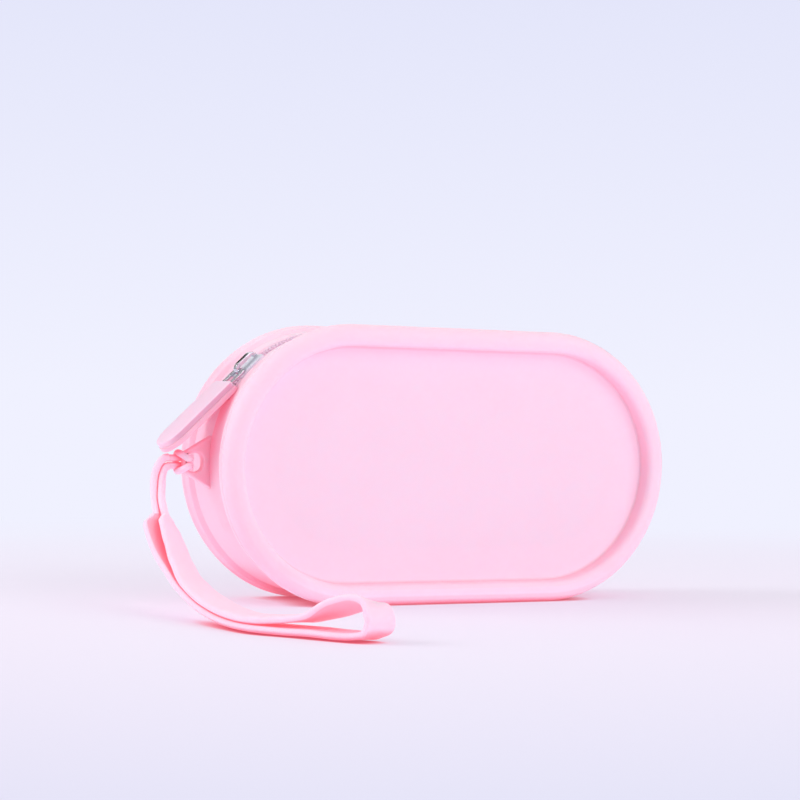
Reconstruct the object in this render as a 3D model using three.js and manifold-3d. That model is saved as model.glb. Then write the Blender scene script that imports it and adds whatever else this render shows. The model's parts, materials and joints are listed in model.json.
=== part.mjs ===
// Silicone cosmetic pouch with a zip over its top and a wrist strap on its left end.
// Millimetres, +Z up, +X towards the right end, +Y towards the rear. It stands on its long edge.

import * as THREE from 'three';
import { mergeVertices } from 'three/addons/utils/BufferGeometryUtils.js';
import Module from 'manifold-3d';

// Clearance between pieces that touch on the real pouch
const FIT = 0.3;

// Pouch body: a stadium outline with a raised round rim on the front and on the rear
const LENGTH = 157;
const HEIGHT = 86;
const DEPTH = 39;
const RIM_RADIUS = 3.8;
const RIM_INNER_RADIUS = 2;
const RIM_WIDTH = 6.5;
const RIM_SIDE = 3.5;
const RIM_SHOULDER = 1.3;
const RIM_STEP = 1.8;
const RECESS = 5.5;
const PANEL_FILLET = 0.6;
const WALL = 2;

// Lips of the two halves, stepped to carry the zip tapes and the gusset web
const SLOT_WIDTH = 8.8;
const LEDGE_REACH = 1.2;
const LEDGE_THICKNESS = 1.4;
const LEDGE_LENGTH = 3;

// Zip: angles are above the horizontal at each round end
const ZIP_END_ANGLE = 28;
const TAPE_SINK = 1.6;
const TAPE_THICKNESS = 0.8;
const COIL_GAP = 1.5;
const COIL_WIDTH = 1.15;
const COIL_THICKNESS = 2;
const COIL_SINK = 1.5;
const STOP_LENGTH = 2.2;
const STOP_THICKNESS = 0.7;

// Slider on the left end
const SLIDER_ANGLE = 46;
const SLIDER_LENGTH = 10;
const SLIDER_WIDTH = 7.6;
const SLIDER_PLATE = 0.9;
const SLIDER_NECK = 0.9;
const BRIDGE_LENGTH = 8.8;
const BRIDGE_RISE = 2.7;
const BRIDGE_WIDTH = 2.6;
const BRIDGE_BAR = 1;
const BRIDGE_CORNER = 1.4;

// Pull: a wire link through the bridge, set in a soft tab
const LINK_WIRE = 1.2;
const LINK_PLAY = 0.35;
const LINK_WIDTH = 7.2;
const LINK_REACH = 6.5;
const LINK_SET = 4;
const PULL_LEAN = 0.5;
const TAB_LENGTH = 28.5;
const TAB_WIDTH = 13;
const TAB_THICKNESS = 2.8;
const TAB_CORNER = 1.4;

// Strap lug on the left end
const LUG_BASE = 17;
const LUG_TIP = 6;
const LUG_REACH = 8.7;
const LUG_THICKNESS = 3;
const LUG_BAR = 1.5;
const LUG_CORNER = 1;
const HOLE_LENGTH = 5;
const HOLE_HEIGHT = 5.8;
const HOLE_CORNER = 2.2;

// Wrist strap: a band that narrows to two cords, knotted through the lug
const CORD = 2.3;
const CORD_NOSE = 0.6;
const CORD_GAP = 0.4;
const BAND_GAP = 1;
const BAND_LYING_GAP = 0.6;
const BAND_WIDTH = 10.5;
const BAND_THICKNESS = 2;

// Facets
const END_STEPS = 22;
const RIM_STEPS = 4;
const STRIP_STEPS = 16;
const SLIDER_STEPS = 6;
const WIRE_SIDES = 8;
const LINK_STEPS = 36;
const CORD_STEPS = 72;
const BRIDGE_CURVE = 3;
const TAB_CURVE = 5;
const LUG_CURVE = 4;

// Worked-out sizes
const END_RADIUS = HEIGHT / 2;
const HALF_STRAIGHT = (LENGTH - HEIGHT) / 2;
const HALF_DEPTH = DEPTH / 2;
const MID_HEIGHT = HEIGHT / 2;
const LIP = SLOT_WIDTH / 2;
const LEDGE_TOP = RIM_STEP + TAPE_SINK + TAPE_THICKNESS + FIT;
const LEDGE_BOTTOM = LEDGE_TOP + LEDGE_THICKNESS;
const COIL_TOP = RIM_STEP + COIL_SINK;
const COIL_BOTTOM = COIL_TOP + COIL_THICKNESS;
const COIL_OUTER = COIL_GAP / 2 + COIL_WIDTH;
const PLATE_BASE = RIM_STEP + Math.min(TAPE_SINK, COIL_SINK) - FIT;
const PLATE_TOP = PLATE_BASE - SLIDER_PLATE;
const LOWER_PLATE_TOP = Math.max(LEDGE_BOTTOM, COIL_BOTTOM) + FIT;
const HITCH_Y = LUG_THICKNESS / 2 + FIT + CORD / 2;
const LEG_Z = (CORD + FIT) / 2;
const LEG_HALF_GAP = (CORD + CORD_GAP) / 2;
const BAND_HALF_GAP = (BAND_THICKNESS + BAND_GAP) / 2;
const BAND_LYING_HALF = (BAND_THICKNESS + BAND_LYING_GAP) / 2;
const WEB_SURFACE = END_RADIUS - RIM_STEP;
const LUG_TIP_X = -HALF_STRAIGHT - WEB_SURFACE - LUG_REACH;
const STRAP_EXIT_X = LUG_TIP_X - FIT - CORD - FIT;

const wasm = await Module();
wasm.setup();

const silicone = new THREE.MeshStandardMaterial({ color: 0xf7bcd4, roughness: 0.55, metalness: 0 });
const strapSilicone = new THREE.MeshStandardMaterial({ color: 0xfcc4da, roughness: 0.5, metalness: 0 });
const tabSilicone = new THREE.MeshStandardMaterial({ color: 0xf0c8de, roughness: 0.5, metalness: 0 });
const tapeFabric = new THREE.MeshStandardMaterial({ color: 0xf3b6cc, roughness: 0.9, metalness: 0 });
const coilNylon = new THREE.MeshStandardMaterial({ color: 0xc9b4c4, roughness: 0.5, metalness: 0 });
const zipMetal = new THREE.MeshStandardMaterial({ color: 0xc4c6ca, roughness: 0.25, metalness: 1 });

// A closed surface through rings of points, with a flat cap on the first and on the last ring
function closedLoft(rings, capTriangles) {
  const count = rings[0].length;
  const positions = rings.flat().flatMap((point) => [point.x, point.y, point.z]);
  const index = [];
  for (let ring = 0; ring + 1 < rings.length; ring++) {
    for (let i = 0; i < count; i++) {
      const a = ring * count + i;
      const b = ring * count + ((i + 1) % count);
      index.push(a, b, a + count, b, b + count, a + count);
    }
  }
  const last = (rings.length - 1) * count;
  for (const [a, b, c] of capTriangles) {
    index.push(c, b, a);
    index.push(last + a, last + b, last + c);
  }
  const geometry = new THREE.BufferGeometry();
  geometry.setAttribute('position', new THREE.Float32BufferAttribute(positions, 3));
  geometry.setIndex(signedVolume(positions, index) < 0 ? index.reverse() : index);
  geometry.computeVertexNormals();
  return geometry;
}

function signedVolume(positions, index) {
  const corner = (i) => new THREE.Vector3().fromArray(positions, 3 * i);
  let volume = 0;
  for (let i = 0; i < index.length; i += 3) {
    volume += corner(index[i]).dot(corner(index[i + 1]).cross(corner(index[i + 2])));
  }
  return volume;
}

// Corners of a closed section, always in counter-clockwise order
function sectionCorners(section) {
  const corners = section.map(([y, inset]) => new THREE.Vector2(y, inset));
  return THREE.ShapeUtils.isClockWise(corners) ? corners.reverse() : corners;
}

// Triangles of a flat cap on a convex ring
function fanCap(count) {
  return Array.from({ length: count - 2 }, (_, i) => [0, i + 1, i + 2]);
}

// A place on the pouch outline: x of the end's centre or of the straight, and the outward direction
function endStation(side, angle) {
  const turn = THREE.MathUtils.degToRad(angle);
  return { x: side * HALF_STRAIGHT, nx: side * Math.cos(turn), nz: Math.sin(turn) };
}

// The point at an inset from the outline and at y, at one station
function insetPoint(station, inset, y) {
  const radius = END_RADIUS - inset;
  return new THREE.Vector3(station.x + station.nx * radius, y, MID_HEIGHT + station.nz * radius);
}

// Stations over one round end, from one angle to another
function endStations(side, from, to, steps) {
  return Array.from({ length: steps + 1 }, (_, i) => endStation(side, from + ((to - from) * i) / steps));
}

// Stations from the left end to the right end, over the top or under the bottom
function crossingStations(startAngle, throughAngle) {
  return [
    ...endStations(-1, startAngle, throughAngle, STRIP_STEPS),
    ...endStations(1, throughAngle, startAngle, STRIP_STEPS),
  ];
}

// A strip of constant section that follows the outline; the section holds [y, inset] pairs
function outlineStrip(section, stations) {
  const corners = sectionCorners(section);
  const rings = stations.map((station) => corners.map((corner) => insetPoint(station, corner.y, corner.x)));
  return closedLoft(rings, THREE.ShapeUtils.triangulateShape(corners, []));
}

function rectangle(y0, y1, inset0, inset1) {
  return [
    [y0, inset0],
    [y1, inset0],
    [y1, inset1],
    [y0, inset1],
  ];
}

// Section of one half of the body, as [inset, distance from the middle plane], panel to panel
function halfProfile() {
  const panel = HALF_DEPTH - RECESS;
  const crestCentre = HALF_DEPTH - RIM_RADIUS;
  const shoulder = crestCentre - RIM_SIDE;
  const wallInset = RIM_STEP + WALL;
  const profile = [
    [RIM_WIDTH + PANEL_FILLET, panel],
    [RIM_WIDTH, panel + PANEL_FILLET],
  ];
  for (let i = 0; i <= RIM_STEPS; i++) {
    const turn = (Math.PI * i) / RIM_STEPS / 2;
    const inset = RIM_WIDTH - RIM_INNER_RADIUS * (1 - Math.cos(turn));
    profile.push([inset, HALF_DEPTH - RIM_INNER_RADIUS * (1 - Math.sin(turn))]);
  }
  for (let i = 0; i <= RIM_STEPS; i++) {
    const turn = (Math.PI * i) / RIM_STEPS / 2;
    const inset = RIM_RADIUS * (1 - Math.sin(turn));
    profile.push([inset, crestCentre + RIM_RADIUS * Math.cos(turn)]);
  }
  const bevel = Math.SQRT1_2;
  profile.push(
    [0, shoulder],
    [RIM_STEP * (1 - bevel), shoulder - RIM_SHOULDER * bevel],
    [RIM_STEP, shoulder - RIM_SHOULDER],
    [RIM_STEP, LIP],
    [LEDGE_TOP, LIP],
    [LEDGE_TOP, LIP - LEDGE_REACH],
    [LEDGE_BOTTOM, LIP - LEDGE_REACH],
    [LEDGE_BOTTOM, LIP - LEDGE_REACH + LEDGE_LENGTH],
    [wallInset, LIP - LEDGE_REACH + LEDGE_LENGTH + LEDGE_THICKNESS],
    [wallInset, panel - WALL],
  );
  return profile;
}

// One half of the body; side is -1 for the front and 1 for the rear
function bodyHalf(side) {
  const stations = [
    ...endStations(1, -90, 90, END_STEPS),
    ...endStations(-1, 90, -90, END_STEPS),
  ];
  const rings = halfProfile().map(([inset, out]) =>
    stations.map((station) => insetPoint(station, inset, side * out)),
  );
  return closedLoft(rings, fanCap(stations.length));
}

// The strip between the lips below the zip
function gussetWeb() {
  const half = LIP - FIT;
  const section = rectangle(-half, half, RIM_STEP, LEDGE_TOP - FIT);
  return outlineStrip(section, crossingStations(ZIP_END_ANGLE, -90));
}

// Angle that a length covers on the outline of a round end
function endAngle(length) {
  return THREE.MathUtils.radToDeg(length / END_RADIUS);
}

const ZIP_START = ZIP_END_ANGLE + endAngle(FIT);

function zipTape(side) {
  const inset = RIM_STEP + TAPE_SINK;
  const section = rectangle(side * (COIL_OUTER + FIT), side * (LIP - FIT), inset, inset + TAPE_THICKNESS);
  return outlineStrip(section, crossingStations(ZIP_START, 90));
}

function zipCoil(side) {
  const section = rectangle(side * (COIL_GAP / 2), side * COIL_OUTER, COIL_TOP, COIL_BOTTOM);
  return outlineStrip(section, crossingStations(ZIP_START, 90));
}

// A small clamp over both coils at one end of the zip
function zipStop(side) {
  const base = COIL_TOP - FIT;
  const section = rectangle(-COIL_OUTER, COIL_OUTER, base - STOP_THICKNESS, base);
  const end = ZIP_START + endAngle(STOP_LENGTH);
  return outlineStrip(section, endStations(side, ZIP_START, end, 2));
}

// A solid for cutting and joining, from a closed geometry
function toSolid(geometry) {
  const bare = geometry.clone();
  bare.deleteAttribute('normal');
  bare.deleteAttribute('uv');
  const merged = mergeVertices(bare, 1e-4);
  const mesh = new wasm.Mesh({
    numProp: 3,
    vertProperties: new Float32Array(merged.attributes.position.array),
    triVerts: new Uint32Array(merged.index.array),
  });
  return new wasm.Manifold(mesh);
}

function toGeometry(solid) {
  const mesh = solid.getMesh();
  const geometry = new THREE.BufferGeometry();
  geometry.setAttribute('position', new THREE.Float32BufferAttribute(mesh.vertProperties, 3));
  geometry.setIndex(Array.from(mesh.triVerts));
  geometry.computeVertexNormals();
  return geometry;
}

// Frame of the slider: x up along the zip, y out of the pouch, z across to the front
const sliderTurn = THREE.MathUtils.degToRad(SLIDER_ANGLE);
const alongZip = new THREE.Vector3(Math.sin(sliderTurn), 0, Math.cos(sliderTurn));
const outOfZip = new THREE.Vector3(-Math.cos(sliderTurn), 0, Math.sin(sliderTurn));
const acrossZip = new THREE.Vector3().crossVectors(alongZip, outOfZip);
const plateCentre = insetPoint(endStation(-1, SLIDER_ANGLE), PLATE_TOP, 0);

function sliderFrame() {
  return new THREE.Matrix4().makeBasis(alongZip, outOfZip, acrossZip).setPosition(plateCentre);
}

// The arch over the slider's top plate
function sliderBridge() {
  const half = BRIDGE_LENGTH / 2;
  const sink = SLIDER_PLATE / 2;
  const inner = half - BRIDGE_BAR;
  const innerRise = BRIDGE_RISE - BRIDGE_BAR;
  const innerCorner = BRIDGE_CORNER - BRIDGE_BAR / 2;
  const arch = new THREE.Shape();
  arch.moveTo(-half, -sink);
  arch.lineTo(-inner, -sink);
  arch.lineTo(-inner, innerRise - innerCorner);
  arch.absarc(-inner + innerCorner, innerRise - innerCorner, innerCorner, Math.PI, Math.PI / 2, true);
  arch.absarc(inner - innerCorner, innerRise - innerCorner, innerCorner, Math.PI / 2, 0, true);
  arch.lineTo(inner, -sink);
  arch.lineTo(half, -sink);
  arch.absarc(half - BRIDGE_CORNER, BRIDGE_RISE - BRIDGE_CORNER, BRIDGE_CORNER, 0, Math.PI / 2, false);
  arch.absarc(-half + BRIDGE_CORNER, BRIDGE_RISE - BRIDGE_CORNER, BRIDGE_CORNER, Math.PI / 2, Math.PI, false);
  const drawn = { depth: BRIDGE_WIDTH, bevelEnabled: false, curveSegments: BRIDGE_CURVE };
  const geometry = new THREE.ExtrudeGeometry(arch, drawn);
  geometry.translate(0, 0, -BRIDGE_WIDTH / 2);
  return geometry.applyMatrix4(sliderFrame());
}

// Two plates joined by a thin neck that runs between the coils, with the bridge on top
function zipSlider() {
  const half = SLIDER_WIDTH / 2;
  const neck = SLIDER_NECK / 2;
  const section = [
    [-half, PLATE_TOP],
    [half, PLATE_TOP],
    [half, PLATE_BASE],
    [neck, PLATE_BASE],
    [neck, LOWER_PLATE_TOP],
    [half, LOWER_PLATE_TOP],
    [half, LOWER_PLATE_TOP + SLIDER_PLATE],
    [-half, LOWER_PLATE_TOP + SLIDER_PLATE],
    [-half, LOWER_PLATE_TOP],
    [-neck, LOWER_PLATE_TOP],
    [-neck, PLATE_BASE],
    [-half, PLATE_BASE],
  ];
  const reach = endAngle(SLIDER_LENGTH / 2);
  const stations = endStations(-1, SLIDER_ANGLE - reach, SLIDER_ANGLE + reach, SLIDER_STEPS);
  const body = toSolid(outlineStrip(section, stations));
  return toGeometry(body.add(toSolid(sliderBridge())));
}

// The link's crossbar lies in the lower corner of the bridge
const pivotAlong = -BRIDGE_LENGTH / 2 + BRIDGE_BAR + FIT + LINK_WIRE / 2;
const pivotRise = LINK_PLAY + LINK_WIRE / 2;
const pullPivot = new THREE.Vector3(pivotAlong, pivotRise, 0).applyMatrix4(sliderFrame());
const linkHalf = (LINK_WIDTH - LINK_WIRE) / 2;

// Frame of the pull: x along the pull to its free end, y out of the pouch, z across
function pullFrame() {
  const lean = THREE.MathUtils.degToRad(PULL_LEAN);
  const along = alongZip.clone().multiplyScalar(-Math.cos(lean)).addScaledVector(outOfZip, Math.sin(lean));
  const out = outOfZip.clone().multiplyScalar(Math.cos(lean)).addScaledVector(alongZip, Math.sin(lean));
  const across = new THREE.Vector3().crossVectors(along, out);
  return new THREE.Matrix4().makeBasis(along, out, across).setPosition(pullPivot);
}

function wireAlong(points, diameter, steps) {
  const section = new THREE.Shape();
  section.absarc(0, 0, diameter / 2, 0, 2 * Math.PI, false);
  const extrudePath = new THREE.CatmullRomCurve3(points, false, 'centripetal');
  return new THREE.ExtrudeGeometry(section, { extrudePath, steps, curveSegments: WIRE_SIDES / 2 });
}

function pullLink() {
  const end = LINK_REACH + LINK_SET - FIT;
  const bend = LINK_WIRE;
  const side = (sign) => [
    new THREE.Vector3(0, 0, sign * (linkHalf - bend)),
    new THREE.Vector3(bend * (1 - Math.SQRT1_2), 0, sign * (linkHalf - bend * (1 - Math.SQRT1_2))),
    new THREE.Vector3(bend, 0, sign * linkHalf),
    new THREE.Vector3(LINK_REACH, 0, sign * linkHalf),
    new THREE.Vector3(end, 0, sign * linkHalf),
  ];
  const points = [...side(-1).reverse(), ...side(1)];
  return wireAlong(points, LINK_WIRE, LINK_STEPS).applyMatrix4(pullFrame());
}

// A tongue with a round free end and two sockets for the link
function pullTab() {
  const half = TAB_WIDTH / 2;
  const start = LINK_REACH;
  const end = start + TAB_LENGTH;
  const outline = new THREE.Shape();
  outline.absarc(start + TAB_CORNER, half - TAB_CORNER, TAB_CORNER, Math.PI / 2, Math.PI, false);
  outline.absarc(start + TAB_CORNER, -half + TAB_CORNER, TAB_CORNER, Math.PI, 1.5 * Math.PI, false);
  outline.absarc(end - half, 0, half, -Math.PI / 2, Math.PI / 2, false);
  const drawn = { depth: TAB_THICKNESS, bevelEnabled: false, curveSegments: TAB_CURVE };
  const tongue = new THREE.ExtrudeGeometry(outline, drawn);
  tongue.translate(0, 0, -TAB_THICKNESS / 2);
  tongue.rotateX(Math.PI / 2);
  let solid = toSolid(tongue);
  for (const sign of [-1, 1]) {
    const bore = LINK_WIRE / 2 + FIT;
    const socket = new THREE.CylinderGeometry(bore, bore, 2 * LINK_SET, WIRE_SIDES);
    socket.rotateZ(Math.PI / 2);
    socket.translate(start, 0, sign * linkHalf);
    solid = solid.subtract(toSolid(socket));
  }
  return toGeometry(solid).applyMatrix4(pullFrame());
}

// A trapezoid tongue on the web, with a hole for the strap
function strapLug() {
  const baseRadius = WEB_SURFACE + FIT;
  const baseTurn = Math.asin(LUG_BASE / 2 / baseRadius);
  const outline = new THREE.Shape();
  const tip = LUG_TIP_X;
  outline.absarc(-HALF_STRAIGHT, 0, baseRadius, Math.PI + baseTurn, Math.PI - baseTurn, true);
  outline.absarc(tip + LUG_CORNER, LUG_TIP / 2 - LUG_CORNER, LUG_CORNER, Math.PI / 2, Math.PI, false);
  outline.absarc(tip + LUG_CORNER, LUG_CORNER - LUG_TIP / 2, LUG_CORNER, Math.PI, 1.5 * Math.PI, false);
  const hole = new THREE.Path();
  const holeStart = tip + LUG_BAR;
  const holeEnd = holeStart + HOLE_LENGTH;
  const holeTop = HOLE_HEIGHT / 2 - HOLE_CORNER;
  hole.absarc(holeEnd - HOLE_CORNER, holeTop, HOLE_CORNER, 0, Math.PI / 2, false);
  hole.absarc(holeStart + HOLE_CORNER, holeTop, HOLE_CORNER, Math.PI / 2, Math.PI, false);
  hole.absarc(holeStart + HOLE_CORNER, -holeTop, HOLE_CORNER, Math.PI, 1.5 * Math.PI, false);
  hole.absarc(holeEnd - HOLE_CORNER, -holeTop, HOLE_CORNER, 1.5 * Math.PI, 2 * Math.PI, false);
  outline.holes.push(hole);
  const drawn = { depth: LUG_THICKNESS, bevelEnabled: false, curveSegments: LUG_CURVE };
  const lug = new THREE.ExtrudeGeometry(outline, drawn);
  lug.translate(0, 0, -LUG_THICKNESS / 2);
  lug.rotateX(Math.PI / 2);
  lug.translate(0, 0, MID_HEIGHT);
  return lug;
}

// The cow hitch: both legs come in behind the lug, go through the hole to the front, over the bar
// and round the tip, and meet behind the legs
function strapHitch() {
  const bar = LUG_TIP_X + LUG_BAR;
  const inHole = bar + FIT + CORD / 2;
  const behindLegs = HITCH_Y + CORD + FIT;
  const roundTip = LUG_TIP_X - FIT - CORD / 2;
  const leg = (sign) => [
    new THREE.Vector3(STRAP_EXIT_X, HITCH_Y, sign * LEG_Z),
    new THREE.Vector3(LUG_TIP_X, HITCH_Y, sign * LEG_Z),
    new THREE.Vector3(bar, HITCH_Y, sign * LEG_Z),
    new THREE.Vector3(inHole, HITCH_Y / 2, sign * LEG_Z),
    new THREE.Vector3(inHole, -HITCH_Y / 2, sign * LEG_Z),
    new THREE.Vector3(bar, -HITCH_Y, sign * (LEG_Z + FIT)),
    new THREE.Vector3(LUG_TIP_X, -HITCH_Y, sign * (LEG_Z + CORD / 2)),
    new THREE.Vector3(roundTip, -CORD / 2, sign * (LEG_Z + CORD)),
    new THREE.Vector3(roundTip, HITCH_Y, sign * (LEG_Z + CORD + FIT)),
    new THREE.Vector3(roundTip, behindLegs, sign * (LEG_Z + CORD / 4)),
  ];
  const middle = new THREE.Vector3(roundTip, behindLegs + FIT, 0);
  const points = [...leg(1), middle, ...leg(-1).reverse()];
  return wireAlong(points, CORD, CORD_STEPS).translate(0, 0, MID_HEIGHT);
}

// Stations where the strap's two legs lie together, chosen by hand: x and y from where the strap
// leaves the hitch, height above the table, direction to the left leg, half gap, sideways half
// offset, sideways turn of the left leg's face, band width
const STRAP_PAIR = [
  [-FIT, 0, 43, 0, 0, 1, LEG_Z, 0, 0, CORD_NOSE],
  [-FIT - CORD / 2, 0, 43, 0, 0, 1, LEG_Z, 0, 0, CORD],
  [-3.1, -1, 40.5, -0.4, 0.3, 0.85, LEG_HALF_GAP, 0, 0, CORD],
  [-4.4, -3.2, 36.6, -0.55, 0.65, 0.5, LEG_HALF_GAP, 0, 0, CORD],
  [-5.7, -7.4, 32.2, -0.4, 0.9, 0.1, LEG_HALF_GAP, 0, 0, CORD],
  [-6.6, -12.3, 27.7, -0.45, 0.88, 0, LEG_HALF_GAP, 0.1, 0, CORD],
  [-6.9, -14.2, 26, -0.48, 0.86, 0, BAND_HALF_GAP, 0.3, 0.25, 6.5],
  [-7.2, -16.4, 24.1, -0.5, 0.86, -0.1, BAND_HALF_GAP, 0.5, 0.38, 10.2],
  [-7.6, -23.5, 18.2, -0.48, 0.78, -0.35, BAND_HALF_GAP, 0.4, 0.28, BAND_WIDTH],
  [-7.9, -32, 12.8, -0.4, 0.68, -0.6, BAND_HALF_GAP, 0.2, 0.1, BAND_WIDTH],
  [-8, -43, 8.3, -0.22, 0.42, -0.88, BAND_HALF_GAP, 0, 0, BAND_WIDTH],
  [-7.3, -56, 4.9, -0.1, 0.17, -0.98, BAND_LYING_HALF, 0, 0, BAND_WIDTH],
  [-6, -68, 3.1, -0.05, 0.08, -1, BAND_LYING_HALF, 0, 0, BAND_WIDTH],
  [-4.2, -79, 2.8, -0.02, 0.04, -1, BAND_LYING_HALF, 0, 0, BAND_WIDTH],
];

// Stations round the open end of the strap, from the left leg to the right leg, with the direction
// that the band's outer face looks in
const STRAP_LOOP = [
  [1.2, -86.8, 1.55, 0, 0.02, -1],
  [5.9, -94.2, 1.7, 0, 0, -1],
  [10.9, -102.2, 1.6, 0.03, -0.05, -1],
  [14.8, -107.6, 2.1, 0.22, -0.48, -0.85],
  [16.2, -109.9, 4.6, 0.27, -0.95, -0.12],
  [15.9, -109.4, 8, 0.32, -0.9, 0.28],
  [13.7, -106.2, 10.6, 0.38, -0.08, 0.92],
  [9.6, -99, 8.6, 0.1, 0.58, 0.81],
  [5.2, -91.8, 5.3, -0.14, 0.44, 0.89],
  [0.6, -84.9, 4.3, -0.08, 0.13, 0.98],
];
const STRAP_STEPS = 3;

// The middle line of the strap as one route: left leg out, round the open end, right leg back
function strapRoute() {
  const place = (x, y, height) => new THREE.Vector3(STRAP_EXIT_X + x, HITCH_Y + y, height);
  const leg = (sign) =>
    STRAP_PAIR.map(([x, y, height, nx, ny, nz, gap, slide, turn, width]) => {
      const away = new THREE.Vector3(nx, ny, nz).normalize().multiplyScalar(sign);
      const point = place(x - sign * slide, y, height).addScaledVector(away, gap);
      const face = sign > 0 ? new THREE.Vector3(nx + turn, ny, nz).normalize() : away;
      return { point, face, width };
    });
  const loop = STRAP_LOOP.map(([x, y, height, nx, ny, nz]) => {
    const face = new THREE.Vector3(nx, ny, nz).normalize();
    return { point: place(x, y, height), face, width: BAND_WIDTH };
  });
  return [...leg(1), ...loop, ...leg(-1).reverse()];
}

// A flat band along the route, whose faces look along each station's direction
function wristStrap() {
  const route = strapRoute();
  const curve = new THREE.CatmullRomCurve3(route.map((station) => station.point), false, 'centripetal');
  const count = (route.length - 1) * STRAP_STEPS;
  const rings = [];
  for (let i = 0; i <= count; i++) {
    const along = i / count;
    const before = Math.min(Math.floor(i / STRAP_STEPS), route.length - 2);
    const share = i / STRAP_STEPS - before;
    const point = curve.getPoint(along);
    const tangent = curve.getTangent(along);
    const face = route[before].face.clone().lerp(route[before + 1].face, share);
    face.addScaledVector(tangent, -face.dot(tangent)).normalize();
    const across = new THREE.Vector3().crossVectors(tangent, face);
    const width = THREE.MathUtils.lerp(route[before].width, route[before + 1].width, share);
    const flat = THREE.MathUtils.clamp((width - CORD) / (BAND_WIDTH - CORD), 0, 1);
    const thickness = THREE.MathUtils.lerp(CORD, BAND_THICKNESS, flat);
    rings.push(
      [[-1, -1], [1, -1], [1, 1], [-1, 1]].map(([a, b]) =>
        point.clone().addScaledVector(across, (a * width) / 2).addScaledVector(face, (b * thickness) / 2),
      ),
    );
  }
  return closedLoft(rings, fanCap(4));
}

const pouch = new THREE.Group();
const strapNodes = new Set(['strap_hitch', 'wrist_strap']);

function addPiece(name, geometry, material) {
  const mesh = new THREE.Mesh(geometry, material);
  mesh.name = name;
  pouch.add(mesh);
}

addPiece('front_shell', bodyHalf(-1), silicone);
addPiece('rear_shell', bodyHalf(1), silicone);
addPiece('gusset_web', gussetWeb(), silicone);
addPiece('strap_lug', strapLug(), silicone);
addPiece('zip_tape_front', zipTape(-1), tapeFabric);
addPiece('zip_tape_rear', zipTape(1), tapeFabric);
addPiece('zip_coil_front', zipCoil(-1), coilNylon);
addPiece('zip_coil_rear', zipCoil(1), coilNylon);
addPiece('zip_stop_left', zipStop(-1), zipMetal);
addPiece('zip_stop_right', zipStop(1), zipMetal);
addPiece('zip_slider', zipSlider(), zipMetal);
addPiece('pull_link', pullLink(), zipMetal);
addPiece('pull_tab', pullTab(), tabSilicone);
addPiece('strap_hitch', strapHitch(), strapSilicone);
addPiece('wrist_strap', wristStrap(), strapSilicone);

// The origin is under the middle of the pouch and its pull, on the table; the strap is left out of it
const box = new THREE.Box3();
for (const mesh of pouch.children) {
  if (!strapNodes.has(mesh.name)) box.expandByObject(mesh, true);
}
pouch.position.set(-(box.min.x + box.max.x) / 2, -(box.min.y + box.max.y) / 2, -box.min.z);
pouch.updateMatrixWorld(true);

export default pouch;
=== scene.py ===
import json
import math

import bmesh
import bpy
from mathutils import Matrix, Vector


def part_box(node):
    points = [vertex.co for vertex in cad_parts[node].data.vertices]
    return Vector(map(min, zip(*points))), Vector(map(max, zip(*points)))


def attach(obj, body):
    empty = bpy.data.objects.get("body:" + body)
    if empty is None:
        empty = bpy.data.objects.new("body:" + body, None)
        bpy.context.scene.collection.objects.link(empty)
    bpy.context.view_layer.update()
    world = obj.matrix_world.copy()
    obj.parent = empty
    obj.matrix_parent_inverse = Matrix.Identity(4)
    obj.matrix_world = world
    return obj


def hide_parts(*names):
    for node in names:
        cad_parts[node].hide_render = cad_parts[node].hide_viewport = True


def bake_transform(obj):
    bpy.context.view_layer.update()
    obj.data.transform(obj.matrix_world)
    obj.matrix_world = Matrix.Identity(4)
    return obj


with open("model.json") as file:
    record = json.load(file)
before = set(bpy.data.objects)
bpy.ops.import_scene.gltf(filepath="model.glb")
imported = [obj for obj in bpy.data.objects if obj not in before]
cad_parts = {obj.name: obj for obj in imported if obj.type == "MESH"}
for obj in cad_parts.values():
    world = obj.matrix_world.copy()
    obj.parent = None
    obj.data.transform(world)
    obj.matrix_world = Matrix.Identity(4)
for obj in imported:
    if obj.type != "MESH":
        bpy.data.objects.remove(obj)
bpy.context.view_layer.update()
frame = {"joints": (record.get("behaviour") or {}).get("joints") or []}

# A pink silicone cosmetic pouch standing on its long edge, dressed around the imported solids.
# Metres; +X to the plain right end, +Y to the rear, +Z up.

MM = 0.001

# Places read from the frame
front_low, front_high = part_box("front_shell")
MID_X = (front_low.x + front_high.x) / 2
END_RADIUS = front_high.z / 2
MID_Z = END_RADIUS
HALF_STRAIGHT = (front_high.x - front_low.x) / 2 - END_RADIUS
HALF_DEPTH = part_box("rear_shell")[1].y
LEFT_X = MID_X - HALF_STRAIGHT
RIGHT_X = MID_X + HALF_STRAIGHT
JOINTS = {joint["name"]: joint for joint in frame["joints"]}
PULL_PIVOT = Vector(JOINTS["pull_swing"]["pos_m"])

# Body section
RIM_RADIUS = 3.8 * MM
RIM_INNER_RADIUS = 2 * MM
RIM_WIDTH = 6.5 * MM
RIM_ROUNDNESS = 0.98
RIM_TAPER = 0.45 * MM
PARTING_RIDGE = 0.22 * MM
PARTING_SLOPE = 0.16 * MM
PARTING_GROOVE = 0.02 * MM
RIM_STEP = 1.8 * MM
RECESS = 5.5 * MM
PANEL_CROWN = 0.5 * MM
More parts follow.
